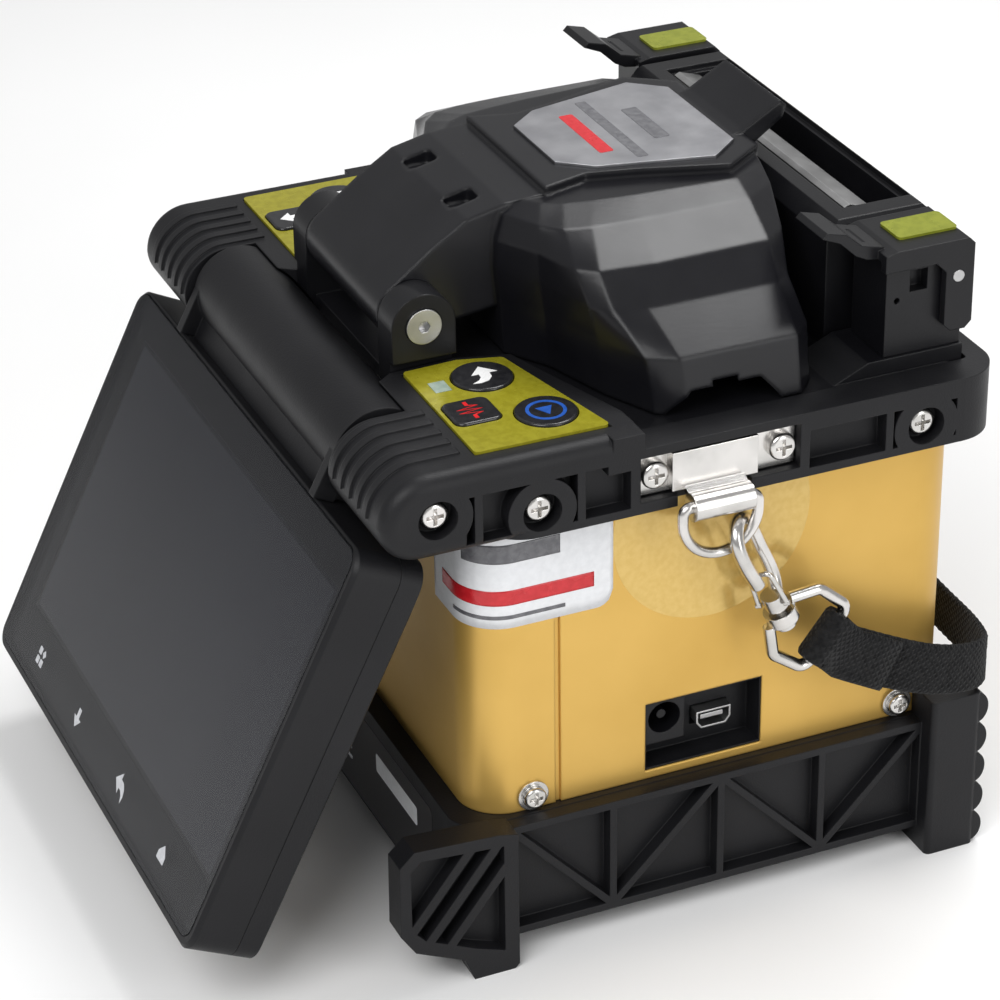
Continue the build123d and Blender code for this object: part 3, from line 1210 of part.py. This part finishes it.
with BuildPart() as arc_transformer:
    with BuildSketch(Plane.XY.offset(63.6)):
        with Locations((26.0, 22.0)):
            RectangleRounded(26.0, 20.0, 2)
    extrude(amount=16.0)
    with BuildSketch(Plane.XY.offset(79.6)):
        with Locations((26.0, 22.0)):
            Circle(3.0)
    extrude(amount=4.0)
save(arc_transformer, "arc_transformer")
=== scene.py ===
import json
from math import asin, cos, degrees, pi, radians, sin

import bmesh
import bpy
from mathutils import Matrix, Vector


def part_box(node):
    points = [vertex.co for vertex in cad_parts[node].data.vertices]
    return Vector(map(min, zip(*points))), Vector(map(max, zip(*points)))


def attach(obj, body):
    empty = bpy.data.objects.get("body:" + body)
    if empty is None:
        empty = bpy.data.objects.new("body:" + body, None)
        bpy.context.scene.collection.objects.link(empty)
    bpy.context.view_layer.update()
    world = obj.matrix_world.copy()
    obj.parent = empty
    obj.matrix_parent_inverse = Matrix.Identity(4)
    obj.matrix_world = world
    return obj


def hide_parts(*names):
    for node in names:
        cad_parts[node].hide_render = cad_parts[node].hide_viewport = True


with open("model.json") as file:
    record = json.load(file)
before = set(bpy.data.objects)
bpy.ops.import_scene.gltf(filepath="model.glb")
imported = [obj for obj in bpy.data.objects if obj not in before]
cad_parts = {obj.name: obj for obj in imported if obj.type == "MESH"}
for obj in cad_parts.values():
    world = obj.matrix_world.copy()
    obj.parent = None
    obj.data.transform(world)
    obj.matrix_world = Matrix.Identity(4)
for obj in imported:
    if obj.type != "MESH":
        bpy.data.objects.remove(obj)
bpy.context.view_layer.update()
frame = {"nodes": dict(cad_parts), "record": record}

MM = 0.001
SIDES = (("right", 1), ("left", -1))


def mm(x, y, z):
    """A place given in millimetres of the row frame."""
    return Vector((x, y, z)) * MM


# ---------------------------------------------------------------- camera
AZIMUTH, ELEVATION, ROLL = radians(66.95), radians(29.17), radians(-0.91)
TARGET = mm(-0.1, -20.2, 63.7)
DISTANCE = 0.7096
FOCAL = 123.7                  # on a 36 mm frame


def make_camera():
    back = Vector((sin(AZIMUTH) * cos(ELEVATION), -cos(AZIMUTH) * cos(ELEVATION), sin(ELEVATION)))
    right = Vector((cos(AZIMUTH), sin(AZIMUTH), 0))
    up = back.cross(right)
    turned_right = right * cos(ROLL) + up * sin(ROLL)
    turned_up = up * cos(ROLL) - right * sin(ROLL)
    data = bpy.data.cameras.new("view_camera")
    data.lens = FOCAL
    data.sensor_width = 36
    data.shift_x = 0.0019
    data.shift_y = -0.0024
    data.clip_start = 0.01
    camera = bpy.data.objects.new("view_camera", data)
    turn = Matrix((turned_right, turned_up, back)).transposed().to_4x4()
    camera.matrix_world = Matrix.Translation(TARGET + back * DISTANCE) @ turn
    bpy.context.collection.objects.link(camera)
    bpy.context.scene.camera = camera


make_camera()

# ---------------------------------------------------------------- materials


class Surface:
    """One node material: a principled shader whose colour, roughness and bump come from procedural nodes."""

    def __init__(self, name, roughness=0.5, metallic=0.0, **sockets):
        self.material = bpy.data.materials.new(name)
        self.material.use_nodes = True
        self.tree = self.material.node_tree
        self.shader = self.tree.nodes["Principled BSDF"]
        self.set(roughness=roughness, metallic=metallic, **sockets)
        self.normal = None

    def set(self, **sockets):
        for key, value in sockets.items():
            self.shader.inputs[key.replace("_", " ").title().replace("Ior", "IOR")].default_value = value

    def node(self, kind, links=(), **values):
        made = self.tree.nodes.new(kind)
        for key, value in values.items():
            if hasattr(made, key):
                setattr(made, key, value)
            else:
                made.inputs[key.replace("_", " ").title()].default_value = value
        for socket, source in links:
            self.tree.links.new(source, made.inputs[socket])
        return made

    def place(self, stretch=(1, 1, 1), space="Object"):
        coordinates = self.node("ShaderNodeTexCoord")
        mapping = self.node("ShaderNodeMapping", [("Vector", coordinates.outputs[space])])
        mapping.inputs["Scale"].default_value = stretch
        return mapping.outputs["Vector"]

    def noise(self, scale, detail=4.0, stretch=(1, 1, 1), space="Object"):
        return self.node("ShaderNodeTexNoise", [("Vector", self.place(stretch, space))], scale=scale,
                         detail=detail)

    def ramp(self, source, low, high, start=0.35, end=0.65):
        ramp = self.node("ShaderNodeValToRGB", [("Fac", source)])
        for element, place, colour in zip(ramp.color_ramp.elements, (start, end), (low, high)):
            element.position = place
            element.color = (*colour, 1)
        return ramp.outputs["Color"]

    def colour(self, low, high, scale=60, **more):
        self.tree.links.new(self.ramp(self.noise(scale, **more).outputs["Fac"], low, high),
                            self.shader.inputs["Base Color"])
        return self

    def rough(self, low, high, scale=250, **more):
        spread = self.node("ShaderNodeMapRange", [("Value", self.noise(scale, **more).outputs["Fac"])])
        spread.inputs["To Min"].default_value = low
        spread.inputs["To Max"].default_value = high
        self.tree.links.new(spread.outputs["Result"], self.shader.inputs["Roughness"])
        return self

    def bump(self, height, strength, distance):
        bump = self.node("ShaderNodeBump", [("Height", height)], strength=strength, distance=distance)
        if self.normal:
            self.tree.links.new(self.normal, bump.inputs["Normal"])
        self.normal = bump.outputs["Normal"]
        self.tree.links.new(self.normal, self.shader.inputs["Normal"])
        return self

    def soft_edges(self, radius):
        """Rounds the look of sharp edges, as a mould's small radii do."""
        self.normal = self.node("ShaderNodeBevel", samples=6, radius=radius).outputs["Normal"]
        self.tree.links.new(self.normal, self.shader.inputs["Normal"])
        return self


def plastic(name, low, high, rough, grain, strength, edge=0.0004, **sockets):
    """Moulded plastic with spark-eroded grain, slight colour drift and softened edges."""
    made = Surface(name, **sockets).soft_edges(edge)
    made.colour(low, high, 40)
    made.rough(*rough, 160)
    made.bump(made.noise(grain, 2.0).outputs["Fac"], strength, 0.00012)
    return made.material


def anodised():
    """Gold anodised sheet, brushed along its length and faintly mottled."""
    made = Surface("gold_anodised", metallic=0.55, specular_ior_level=0.4).soft_edges(0.0006)
    made.colour((0.60, 0.37, 0.085), (0.68, 0.43, 0.110), 28)
    made.rough(0.34, 0.48, 90)
    made.bump(made.noise(900, 3.0, (0.05, 0.05, 1.0)).outputs["Fac"], 0.10, 0.00008)
    return made.material


def metal(name, low, high, rough, scratch, edge=0.00025):
    """Plated or turned metal with fine scratches and cloudy roughness."""
    made = Surface(name, metallic=1.0).soft_edges(edge)
    made.colour(low, high, 120)
    made.rough(*rough, 300)
    made.bump(made.noise(scratch, 3.0, (1, 0.2, 1)).outputs["Fac"], 0.12, 0.00005)
    return made.material


def printed(name, low, high, rough=(0.22, 0.32), **sockets):
    """Printed polyester film with a faint pearly grain."""
    made = Surface(name, **sockets)
    made.colour(low, high, 700)
    made.rough(*rough, 120)
    made.bump(made.noise(2500, 2.0).outputs["Fac"], 0.05, 0.00004)
    return made.material


def glass():
    """Dark cover glass, smooth, with slight smears in its gloss."""
    made = Surface("screen_glass", alpha=0.45, specular_ior_level=0.5)
    made.colour((0.010, 0.011, 0.015), (0.014, 0.015, 0.020), 15)
    made.rough(0.02, 0.05, 30)
    return made.material


def display_panel():
    """Unlit display behind the glass: blue-grey and a little lighter than its surround."""
    made = Surface("display_panel", specular_ior_level=0.3)
    made.colour((0.060, 0.064, 0.088), (0.075, 0.080, 0.108), 12)
    made.rough(0.10, 0.16, 40)
    return made.material


def webbing():
    """Coarse black webbing: crossed rows of yarn over a fuzzy ground, laid along the strap's own length."""
    made = Surface("strap_webbing", sheen_weight=0.06, sheen_roughness=0.5,
                   specular_ior_level=0.2)
    made.colour((0.0030, 0.0030, 0.0035), (0.0110, 0.0110, 0.0115), 900)
    made.rough(0.80, 0.95, 500)
    rows = [made.node("ShaderNodeTexWave", [("Vector", made.place((1, lean, 1), "UV"))], scale=420,
                      distortion=1.2, detail=2.0, bands_direction="DIAGONAL") for lean in (1.0, -1.0)]
    weave = made.node("ShaderNodeMath", operation="MAXIMUM")
    for socket, row in zip(weave.inputs, rows):
        made.tree.links.new(row.outputs["Fac"], socket)
    made.bump(weave.outputs["Value"], 0.8, 0.0003)
    made.bump(made.noise(3200, 4.0).outputs["Fac"], 0.6, 0.0002)
    return made.material


BLACK = plastic("black_plastic", (0.0062, 0.0062, 0.0075), (0.0095, 0.0095, 0.0110), (0.40, 0.54), 2600, 0.35,
                specular_ior_level=0.26)
SATIN = plastic("black_satin", (0.0052, 0.0052, 0.0065), (0.0085, 0.0085, 0.0100), (0.26, 0.38), 1900, 0.16,
                specular_ior_level=0.28)
HOOD = plastic("hood_satin", (0.0052, 0.0052, 0.0068), (0.0085, 0.0085, 0.0105), (0.20, 0.30), 1500, 0.10,
               edge=0.0012, specular_ior_level=0.34)
GOLD = anodised()
NICKEL = metal("nickel_plate", (0.56, 0.55, 0.53), (0.72, 0.70, 0.68), (0.16, 0.30), 600)
STEEL = metal("turned_steel", (0.42, 0.42, 0.42), (0.58, 0.58, 0.58), (0.26, 0.42), 900)
BADGE = metal("badge_silver", (0.36, 0.36, 0.38), (0.46, 0.46, 0.48), (0.36, 0.46), 1500)
OVERLAY = printed("overlay_lime", (0.295, 0.265, 0.012), (0.355, 0.325, 0.020), metallic=0.25)
LID_LABEL = printed("lid_label_lime", (0.25, 0.28, 0.020), (0.31, 0.34, 0.030), metallic=0.35)
KEYCAP = printed("keycap_black", (0.010, 0.010, 0.012), (0.018, 0.018, 0.020), (0.18, 0.26))
WINDOW = printed("window_grey", (0.25, 0.32, 0.27), (0.33, 0.40, 0.34), (0.15, 0.22))
WHITE = printed("print_white", (0.80, 0.80, 0.80), (0.88, 0.88, 0.88))
RED = printed("print_red", (0.60, 0.010, 0.014), (0.70, 0.020, 0.024))
BLUE = printed("print_blue", (0.012, 0.075, 0.34), (0.020, 0.095, 0.42))
PALE = printed("print_pale", (0.50, 0.51, 0.54), (0.58, 0.59, 0.62))
GREY = printed("print_grey", (0.10, 0.10, 0.11), (0.15, 0.15, 0.16))
BOARD = printed("board_green", (0.010, 0.085, 0.03), (0.02, 0.13, 0.05), (0.35, 0.5))
CELLS = printed("cell_wrap", (0.02, 0.07, 0.22), (0.03, 0.10, 0.30), (0.3, 0.4))
CERAMIC = plastic("ceramic_white", (0.55, 0.54, 0.50), (0.68, 0.67, 0.63), (0.35, 0.5), 1800, 0.1)
GLASS = glass()
DISPLAY = display_panel()
WEBBING = webbing()
SEAL = printed("clear_seal", (0.62, 0.42, 0.12), (0.68, 0.47, 0.15), (0.12, 0.18), metallic=0.35)

BY_SLOT = {"gold_shell": GOLD, "black_plastic": BLACK, "black_satin": SATIN, "overlay": OVERLAY,
           "key_black": KEYCAP, "screen_glass": GLASS, "display": DISPLAY, "nickel": NICKEL, "steel": STEEL,
           "badge": BADGE, "webbing": WEBBING, "ceramic": CERAMIC, "board": BOARD, "cell": CELLS,
           "window": WINDOW, "lid_label": LID_LABEL}
SLOT_OF = {part["node"]: part["material_slot"] for part in frame["record"]["subparts"]}


def dress(node, material):
    """Gives a carried-over CAD node its material."""
    data = frame["nodes"][node].data
    data.materials.clear()
    data.materials.append(material)


for node, slot in SLOT_OF.items():
    dress(node, BY_SLOT[slot])
dress("hood_shell", HOOD)

# ---------------------------------------------------------------- mesh helpers


def add_mesh(name, verts, faces, material, body, smooth=False):
    """A mesh piece from points in metres, riding on a CAD body and given the material passed in."""
    data = bpy.data.meshes.new(name)
    data.from_pydata([tuple(v) for v in verts], [], faces)
    shell = bmesh.new()
    shell.from_mesh(data)
    bmesh.ops.recalc_face_normals(shell, faces=shell.faces)
    shell.to_mesh(data)
    shell.free()
    data.materials.append(material)
    for face in data.polygons:
        face.use_smooth = smooth
    piece = bpy.data.objects.new(name, data)
    bpy.context.collection.objects.link(piece)
    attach(piece, body)
    return piece


def plates(name, outlines, place, thick, material, body):
    """Thin flat pieces with the given outlines (mm in a plane), joined in one object.

    place maps (u, v, height) in mm to a point in metres.
    """
    verts, faces = [], []
    for outline in outlines:
        first, count = len(verts), len(outline)
        for height in (0.0, thick):
            verts += [place(u, v, height) for u, v in outline]
        faces.append(list(range(first + count - 1, first - 1, -1)))
        faces.append(list(range(first + count, first + 2 * count)))
        for i in range(count):
            j = (i + 1) % count
            faces.append([first + i, first + j, first + count + j, first + count + i])
    return add_mesh(name, verts, faces, material, body)


def arc(centre, radius, start, end, steps=24):
    """Points along an arc, angles in degrees."""
    return [(centre[0] + radius * cos(radians(start + (end - start) * i / steps)),
             centre[1] + radius * sin(radians(start + (end - start) * i / steps))) for i in range(steps + 1)]


def ring(centre, outer, inner, pieces=4):
    """A flat ring as a few curved pieces that meet."""
    made = []
    for i in range(pieces):
        a, b = 360 / pieces * i, 360 / pieces * (i + 1)
        made.append(arc(centre, outer, a, b, 12) + arc(centre, inner, b, a, 12))
    return made


def rounded(width, height, radius, centre=(0, 0)):
    """Outline of a rectangle with round corners."""
    points = []
    for sx, sy, start in ((1, 1, 0), (-1, 1, 90), (-1, -1, 180), (1, -1, 270)):
        corner = (centre[0] + sx * (width / 2 - radius), centre[1] + sy * (height / 2 - radius))
        points += arc(corner, radius, start, start + 90, 6)
    return points


# ---------------------------------------------------------------- printed marks on the keys
HOUSE_GRID = [rounded(1.9, 1.9, 0.3, c) for c in ((-1.25, 1.25), (-1.25, -1.25), (1.25, -1.25))] + \
    [[(1.4, 0.2), (2.5, 1.3), (1.4, 2.4), (0.3, 1.3)]]
BACK_ARROW = [[(-3.4, 0.6), (-0.4, 3.3), (-0.4, 1.7), (1.3, 1.5), (2.6, 0.4), (3.1, -1.3), (2.8, -3.0),
               (2.0, -1.4), (0.9, -0.6), (-0.4, -0.5), (-0.4, -2.0)]]
DOWN_ARROW = [[(-0.8, 2.3), (0.8, 2.3), (0.8, -0.1), (2.3, -0.1), (0.0, -2.6), (-2.3, -0.1), (-0.8, -0.1)]]
ZIGZAG_TOP = [(-3.4, 0.2), (-2.0, 0.2), (-1.4, 1.9), (-0.7, -2.0), (0.0, 2.3), (0.7, -2.0), (1.4, 1.9),
              (2.0, 0.2), (3.4, 0.2)]
ZIGZAG = [ZIGZAG_TOP + [(x, y - 0.75) for x, y in reversed(ZIGZAG_TOP)]]
PLAY = [[(-1.3, -1.7), (1.9, 0.0), (-1.3, 1.7)]]
POWER = ring((0, 0), 2.7, 2.15, 4)[1:] + [rounded(0.6, 2.6, 0.2, (0, 1.9))]
KEY_MARKS = {"key_back": ("button_back", BACK_ARROW, WHITE), "key_heat": ("button_heat", ZIGZAG, RED),
             "key_power": ("button_power", POWER, RED), "key_down": ("button_down", DOWN_ARROW, WHITE),
             "key_menu": ("button_menu", HOUSE_GRID, WHITE)}


def on_top_of(node):
    """Maps (u, v, height) in mm onto the top of a node, its middle at (0, 0)."""
    low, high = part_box(node)
    middle = Vector(((low[0] + high[0]) / 2, (low[1] + high[1]) / 2, high[2]))
    return lambda u, v, height: middle + mm(u, v, height)


for key, (body, outlines, material) in KEY_MARKS.items():
    plates(key + "_mark", outlines, on_top_of(key), 0.06, material, body)
plates("key_splice_ring", ring((0, 0), 3.9, 3.2), on_top_of("key_splice"), 0.06, BLUE, "button_splice")
plates("key_splice_mark", PLAY, on_top_of("key_splice"), 0.06, BLUE, "button_splice")

# ---------------------------------------------------------------- touch marks on the monitor's glass
LEAN = radians(26.34)
TILT = mm(0, -61, 102.9)
PANEL_DOWN = Vector((0, -sin(LEAN), -cos(LEAN)))
PANEL_OUT = Vector((0, -cos(LEAN), sin(LEAN)))
GLASS_TOP = 9.0


def on_glass(x, s):
    """Maps (u, v, height) onto the glass, (0, 0) at x across and s down from the tilt axis."""
    return lambda u, v, height: (TILT + Vector((1, 0, 0)) * (x + u) * MM + PANEL_DOWN * (s - v) * MM
                                 + PANEL_OUT * (GLASS_TOP + height) * MM)


HOME_DROP = [[(-2.1, -1.6), (2.1, -1.6), (2.1, 0.3), (0.0, 2.4), (-2.1, 0.3)]]
for name, outlines, x in (("menu", HOUSE_GRID, -40.0), ("down", DOWN_ARROW, -14.0),
                          ("back", BACK_ARROW, 14.0), ("home", HOME_DROP, 40.0)):
    shrunk = [[(u * 0.85, v * 0.85) for u, v in outline] for outline in outlines]
    plates("touch_" + name, shrunk, on_glass(x, 90.6), 0.04, PALE, "monitor")

# ---------------------------------------------------------------- labels
SHELL_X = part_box("body_rear_shell")[1][0] / MM
SHELL_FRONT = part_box("body_front_shell")[0][1] / MM
CORNER = 9.0


def round_the_corner(run, z, height):
    """A point on the shell's right side: run is mm forward of y = 0, going on round the front corner."""
    straight = -SHELL_FRONT - CORNER
    if run <= straight:
        return mm(SHELL_X + height, -run, z)
    turn = min((run - straight) / CORNER, pi / 2)
    beyond = run - straight - turn * CORNER
    centre_x, centre_y, reach = SHELL_X - CORNER, SHELL_FRONT + CORNER, CORNER + height
    return mm(centre_x + reach * cos(turn) - beyond, centre_y - reach * sin(turn), z)


def wrapped(name, start, end, low, high, round_off, material, height=0.05):
    """A thin label that follows the shell round its corner, its lower rear corner rounded off."""
    verts, faces, columns, rows = [], [], 48, 8
    for i in range(columns + 1):
        run = start + (end - start) * i / columns
        inset = max(0.0, round_off - (run - start))
        bottom = low + round_off - (round_off ** 2 - inset ** 2) ** 0.5
        for j in range(rows + 1):
            z = bottom + (high - bottom) * j / rows
            verts.append(round_the_corner(run, z, height))
    for i in range(columns):
        for j in range(rows):
            a = i * (rows + 1) + j
            faces.append([a, a + 1, a + rows + 2, a + rows + 1])
    piece = add_mesh(name, verts, faces, material, "splicer", smooth=True)
    thicken = piece.modifiers.new("thickness", "SOLIDIFY")
    thicken.thickness = 0.00008
    thicken.offset = 0
    return piece


PAPER = printed("label_paper", (0.70, 0.71, 0.73), (0.76, 0.77, 0.79), (0.30, 0.40))
SHEEN_RED = printed("label_red", (0.50, 0.012, 0.018), (0.58, 0.020, 0.028))
wrapped("corner_label", 23.0, 66.0, 72.4, 93.8, 3.5, PAPER)
# plain printed bars where a real label has its wording
wrapped("corner_label_bar", 27.0, 62.0, 77.4, 80.6, 0.0, SHEEN_RED, 0.11)
wrapped("corner_label_rule", 33.0, 57.0, 74.4, 75.2, 0.0, GREY, 0.11)
wrapped("corner_label_head", 34.0, 54.0, 86.5, 90.5, 0.0, GREY, 0.11)

SEAL_Y, SEAL_Z, SEAL_R, SEAL_TOP = -2.1, 85.7, 21.0, 94.2


def on_side(y, z):
    return lambda u, v, height: mm(SHELL_X + height, y + u, z + v)


lift = degrees(asin((SEAL_TOP - SEAL_Z) / SEAL_R))
seal_outline = arc((0, 0), SEAL_R, lift, -180 - lift, 90)
plates("clear_seal", [seal_outline], on_side(SEAL_Y, SEAL_Z), 0.05, SEAL, "splicer")


TRAY_FRONT = -56.3


def on_tray_front(x, z):
    return lambda u, v, height: mm(x + u, TRAY_FRONT - height, z + v)


plates("rating_label", [rounded(86, 21, 1.5)], on_tray_front(6, 16), 0.06, KEYCAP, "splicer")
bars = [rounded(34, 0.9, 0.3, (-18, 7 - 2.6 * i)) for i in range(5)]
plates("rating_label_rules", bars, on_tray_front(6, 16), 0.10, PALE, "splicer")
plates("rating_label_plate", [rounded(22, 4.4, 0.6, (24, 4))], on_tray_front(6, 16), 0.10, PAPER, "splicer")

# plain bars on the cover's badge, where a real one has its wording
BADGE_BARS = (("rule", -1.5, 30, 2.4, GREY), ("bar", -7.0, 20, 3.0, SHEEN_RED), ("head", 6.0, 16, 3.4, GREY))
for name, v, wide, high, material in BADGE_BARS:
    plates("badge_" + name, [rounded(wide, high, 0.5, (0, v))], on_top_of("hood_badge"), 0.05, material,
           "hood")

# ---------------------------------------------------------------- strap
STRAP_ROUTE = (
    (70.6, 21.5, 55.9), (71.3, 33.5, 49.6), (71.5, 45.5, 44.9), (69.0, 56.6, 42.6), (58.5, 60.6, 40.6),
    (43.0, 61.4, 39.9), (26.0, 61.8, 40.6), (8.5, 62.2, 41.0), (-9.5, 62.0, 40.8), (-27.0, 61.5, 40.2),
    (-43.5, 61.2, 40.0), (-58.7, 60.5, 40.8), (-69.0, 56.4, 42.7), (-71.4, 45.1, 45.1), (-71.2, 33.2, 49.8),
    (-70.6, 21.5, 55.9),
)
STRAP_WIDTH, STRAP_THICK = 11.0 * MM, 1.5 * MM
STRAP_STEP = 0.00052           # between the points along the strap, fine enough for its weave
POINTS_ACROSS = 14
EDGE_FROM, EDGE_THINNING = 0.86, 0.55      # where the section starts to thin, and by how much
TWILL_PITCH, TWILL_SLANT, TWILL_DEPTH = 0.0021, 2.6, 0.00009


def smooth_line(points, samples=16):
    """Points read from the NURBS spline that has the route's points as its control points."""
    curve = bpy.data.curves.new("route", "CURVE")
    curve.dimensions = "3D"
    curve.resolution_u = samples
    spline = curve.splines.new("NURBS")
    spline.points.add(len(points) - 1)
    for target, point in zip(spline.points, points):
        target.co = (*mm(*point), 1)
    spline.order_u = 3
    spline.use_endpoint_u = True
    carrier = bpy.data.objects.new("route", curve)
    bpy.context.collection.objects.link(carrier)
    line = [v.co.copy() for v in bpy.data.meshes.new_from_object(carrier).vertices]
    bpy.data.objects.remove(carrier)
    return line


def band(name, line, across_at, material, body, ribs=True):
    """Webbing along a line: a flat rounded section whose faces carry a woven relief."""
    verts, faces, along = [], [], 0.0
    lengths = []
    for i, here in enumerate(line):
        ahead = line[min(i + 1, len(line) - 1)] - line[max(i - 1, 0)]
        across = across_at(ahead.normalized())
        out = ahead.normalized().cross(across).normalized()
        if i:
            along += (here - line[i - 1]).length
        lengths.append(along)
        for face in (1, -1):
            for j in range(POINTS_ACROSS + 1):
                part = face * (2 * j / POINTS_ACROSS - 1)
                thin = 1.0 - EDGE_THINNING * max(0.0, abs(part) - EDGE_FROM) / (1 - EDGE_FROM)
                twill = sin(2 * pi * (along / TWILL_PITCH + abs(part) * TWILL_SLANT)) if ribs else 0.0
                height = STRAP_THICK / 2 * thin + (twill - 1) * TWILL_DEPTH
                verts.append(here + across * part * STRAP_WIDTH / 2 + out * face * height)
    ring_count = 2 * (POINTS_ACROSS + 1)
    for i in range(len(line) - 1):
        for j in range(ring_count):
            k = (j + 1) % ring_count
            a, b = i * ring_count, (i + 1) * ring_count
            faces.append([a + j, a + k, b + k, b + j])
    faces.append(list(range(ring_count)))
    faces.append(list(range((len(line) - 1) * ring_count, len(line) * ring_count)))
    piece = add_mesh(name, verts, faces, material, body, smooth=True)
    uv = piece.data.uv_layers.new(name="along")
    for loop in piece.data.loops:
        i, j = divmod(loop.vertex_index, ring_count)
        uv.data[loop.index].uv = (lengths[i], (j % (POINTS_ACROSS + 1)) / POINTS_ACROSS * STRAP_WIDTH)
    return piece


def level(line, step):
    """The same line with evenly spaced points."""
    spaced, carry = [line[0]], 0.0
    for before, here in zip(line, line[1:]):
        run = (here - before).length
        while carry + run >= step:
            share = (step - carry) / run
            before = before.lerp(here, share)
            run = (here - before).length
            carry = 0.0
            spaced.append(before.copy())
        carry += run
    return spaced + [line[-1]]


def upright(direction):
    """Strap's width stays as near vertical as its run allows."""
    return (Vector((0, 0, 1)) - direction * direction.z).normalized()


route = smooth_line(STRAP_ROUTE)
strap_length = sum((b - a).length for a, b in zip(route, route[1:]))
strap = band("carry_strap", level(route, STRAP_STEP), upright, WEBBING, "splicer")
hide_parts("strap")

HOOK_DOWN = Vector((0, 0.407, -0.914)).normalized()
LOOP_OUT = Vector((0, 0.786, -0.617)).normalized()
LOOP_BAR = Vector((0, 0.617, 0.786)).normalized()
HOOK_EYE = Vector((70.6, 0.28, 85.69))
EYELET_AT, BAR_OUT, FOLD_RADIUS = 20.2, 12.6, 2.45
FOLD_START = 0.4               # from the strap's end towards the bar
FOLD_LIFT = 1.5 + 0.12         # the strap's thickness and a gap
TAIL_AT = (1.0, 4.0, 8.0, 12.0)


def fold(side):
    """Sewn fold of the strap round the swivel's bar: a teardrop loop whose tail lies on the strap."""
    bar = HOOK_EYE + HOOK_DOWN * EYELET_AT + LOOP_OUT * BAR_OUT
    centre = Vector((side * bar.x, bar.y, bar.z))
    start = Vector((side * STRAP_ROUTE[0][0], *STRAP_ROUTE[0][1:]))
    ahead = Vector((side * (STRAP_ROUTE[1][0] - STRAP_ROUTE[0][0]), STRAP_ROUTE[1][1] - STRAP_ROUTE[0][1],
                    STRAP_ROUTE[1][2] - STRAP_ROUTE[0][2])).normalized()
    outward = Vector((side, 0, 0))
    line = [start + LOOP_OUT * FOLD_START]
    for angle in range(-60, -301, -10):
        turn = radians(angle)
        line.append(centre + LOOP_OUT * FOLD_RADIUS * cos(turn) + outward * FOLD_RADIUS * sin(turn))
    line += [start + ahead * d + outward * FOLD_LIFT for d in TAIL_AT]
    metres = [p * MM for p in line]
    word = "right" if side > 0 else "left"
    return band("strap_fold_" + word, metres, lambda d: (LOOP_BAR - d * d.dot(LOOP_BAR)).normalized(),
                WEBBING, "loop_" + word, ribs=False)


folds = [fold(side) for _, side in SIDES]
tuple(route[0])
[tuple(p) for p in route]

# ---------------------------------------------------------------- floor and light


def lamp(name, size, place, aim, power, colour=(1, 1, 1)):
    data = bpy.data.lights.new(name, "AREA")
    data.shape = "RECTANGLE"
    data.size, data.size_y = size
    data.energy = power
    data.color = colour
    light = bpy.data.objects.new(name, data)
    light.location = place
    light.rotation_euler = (Vector(aim) - Vector(place)).to_track_quat("-Z", "Y").to_euler()
    bpy.context.collection.objects.link(light)


FLOOR_HALF = 3.0


def floor():
    data = bpy.data.meshes.new("floor")
    corners = [(x * FLOOR_HALF, y * FLOOR_HALF, 0) for x, y in ((-1, -1), (1, -1), (1, 1), (-1, 1))]
    data.from_pydata(corners, [], [(0, 1, 2, 3)])
    made = Surface("floor_paper", roughness=0.85)
    made.colour((0.84, 0.84, 0.84), (0.88, 0.88, 0.88), 3)
    data.materials.append(made.material)
    piece = bpy.data.objects.new("floor", data)
    bpy.context.collection.objects.link(piece)


floor()
world = bpy.data.worlds.new("studio")
world.use_nodes = True
world.node_tree.nodes["Background"].inputs["Color"].default_value = (1, 1, 1, 1)
world.node_tree.nodes["Background"].inputs["Strength"].default_value = 0.42
bpy.context.scene.world = world
lamp("key_light", (0.7, 0.7), (0.55, -0.65, 0.95), (0, 0, 0.07), 8.5)
lamp("side_light", (0.35, 0.9), (1.0, 0.35, 0.45), (0, 0, 0.08), 3.4)
lamp("top_light", (0.6, 0.3), (-0.15, 0.35, 0.85), (0, 0, 0.1), 5)
bpy.context.scene.view_settings.view_transform = "Standard"
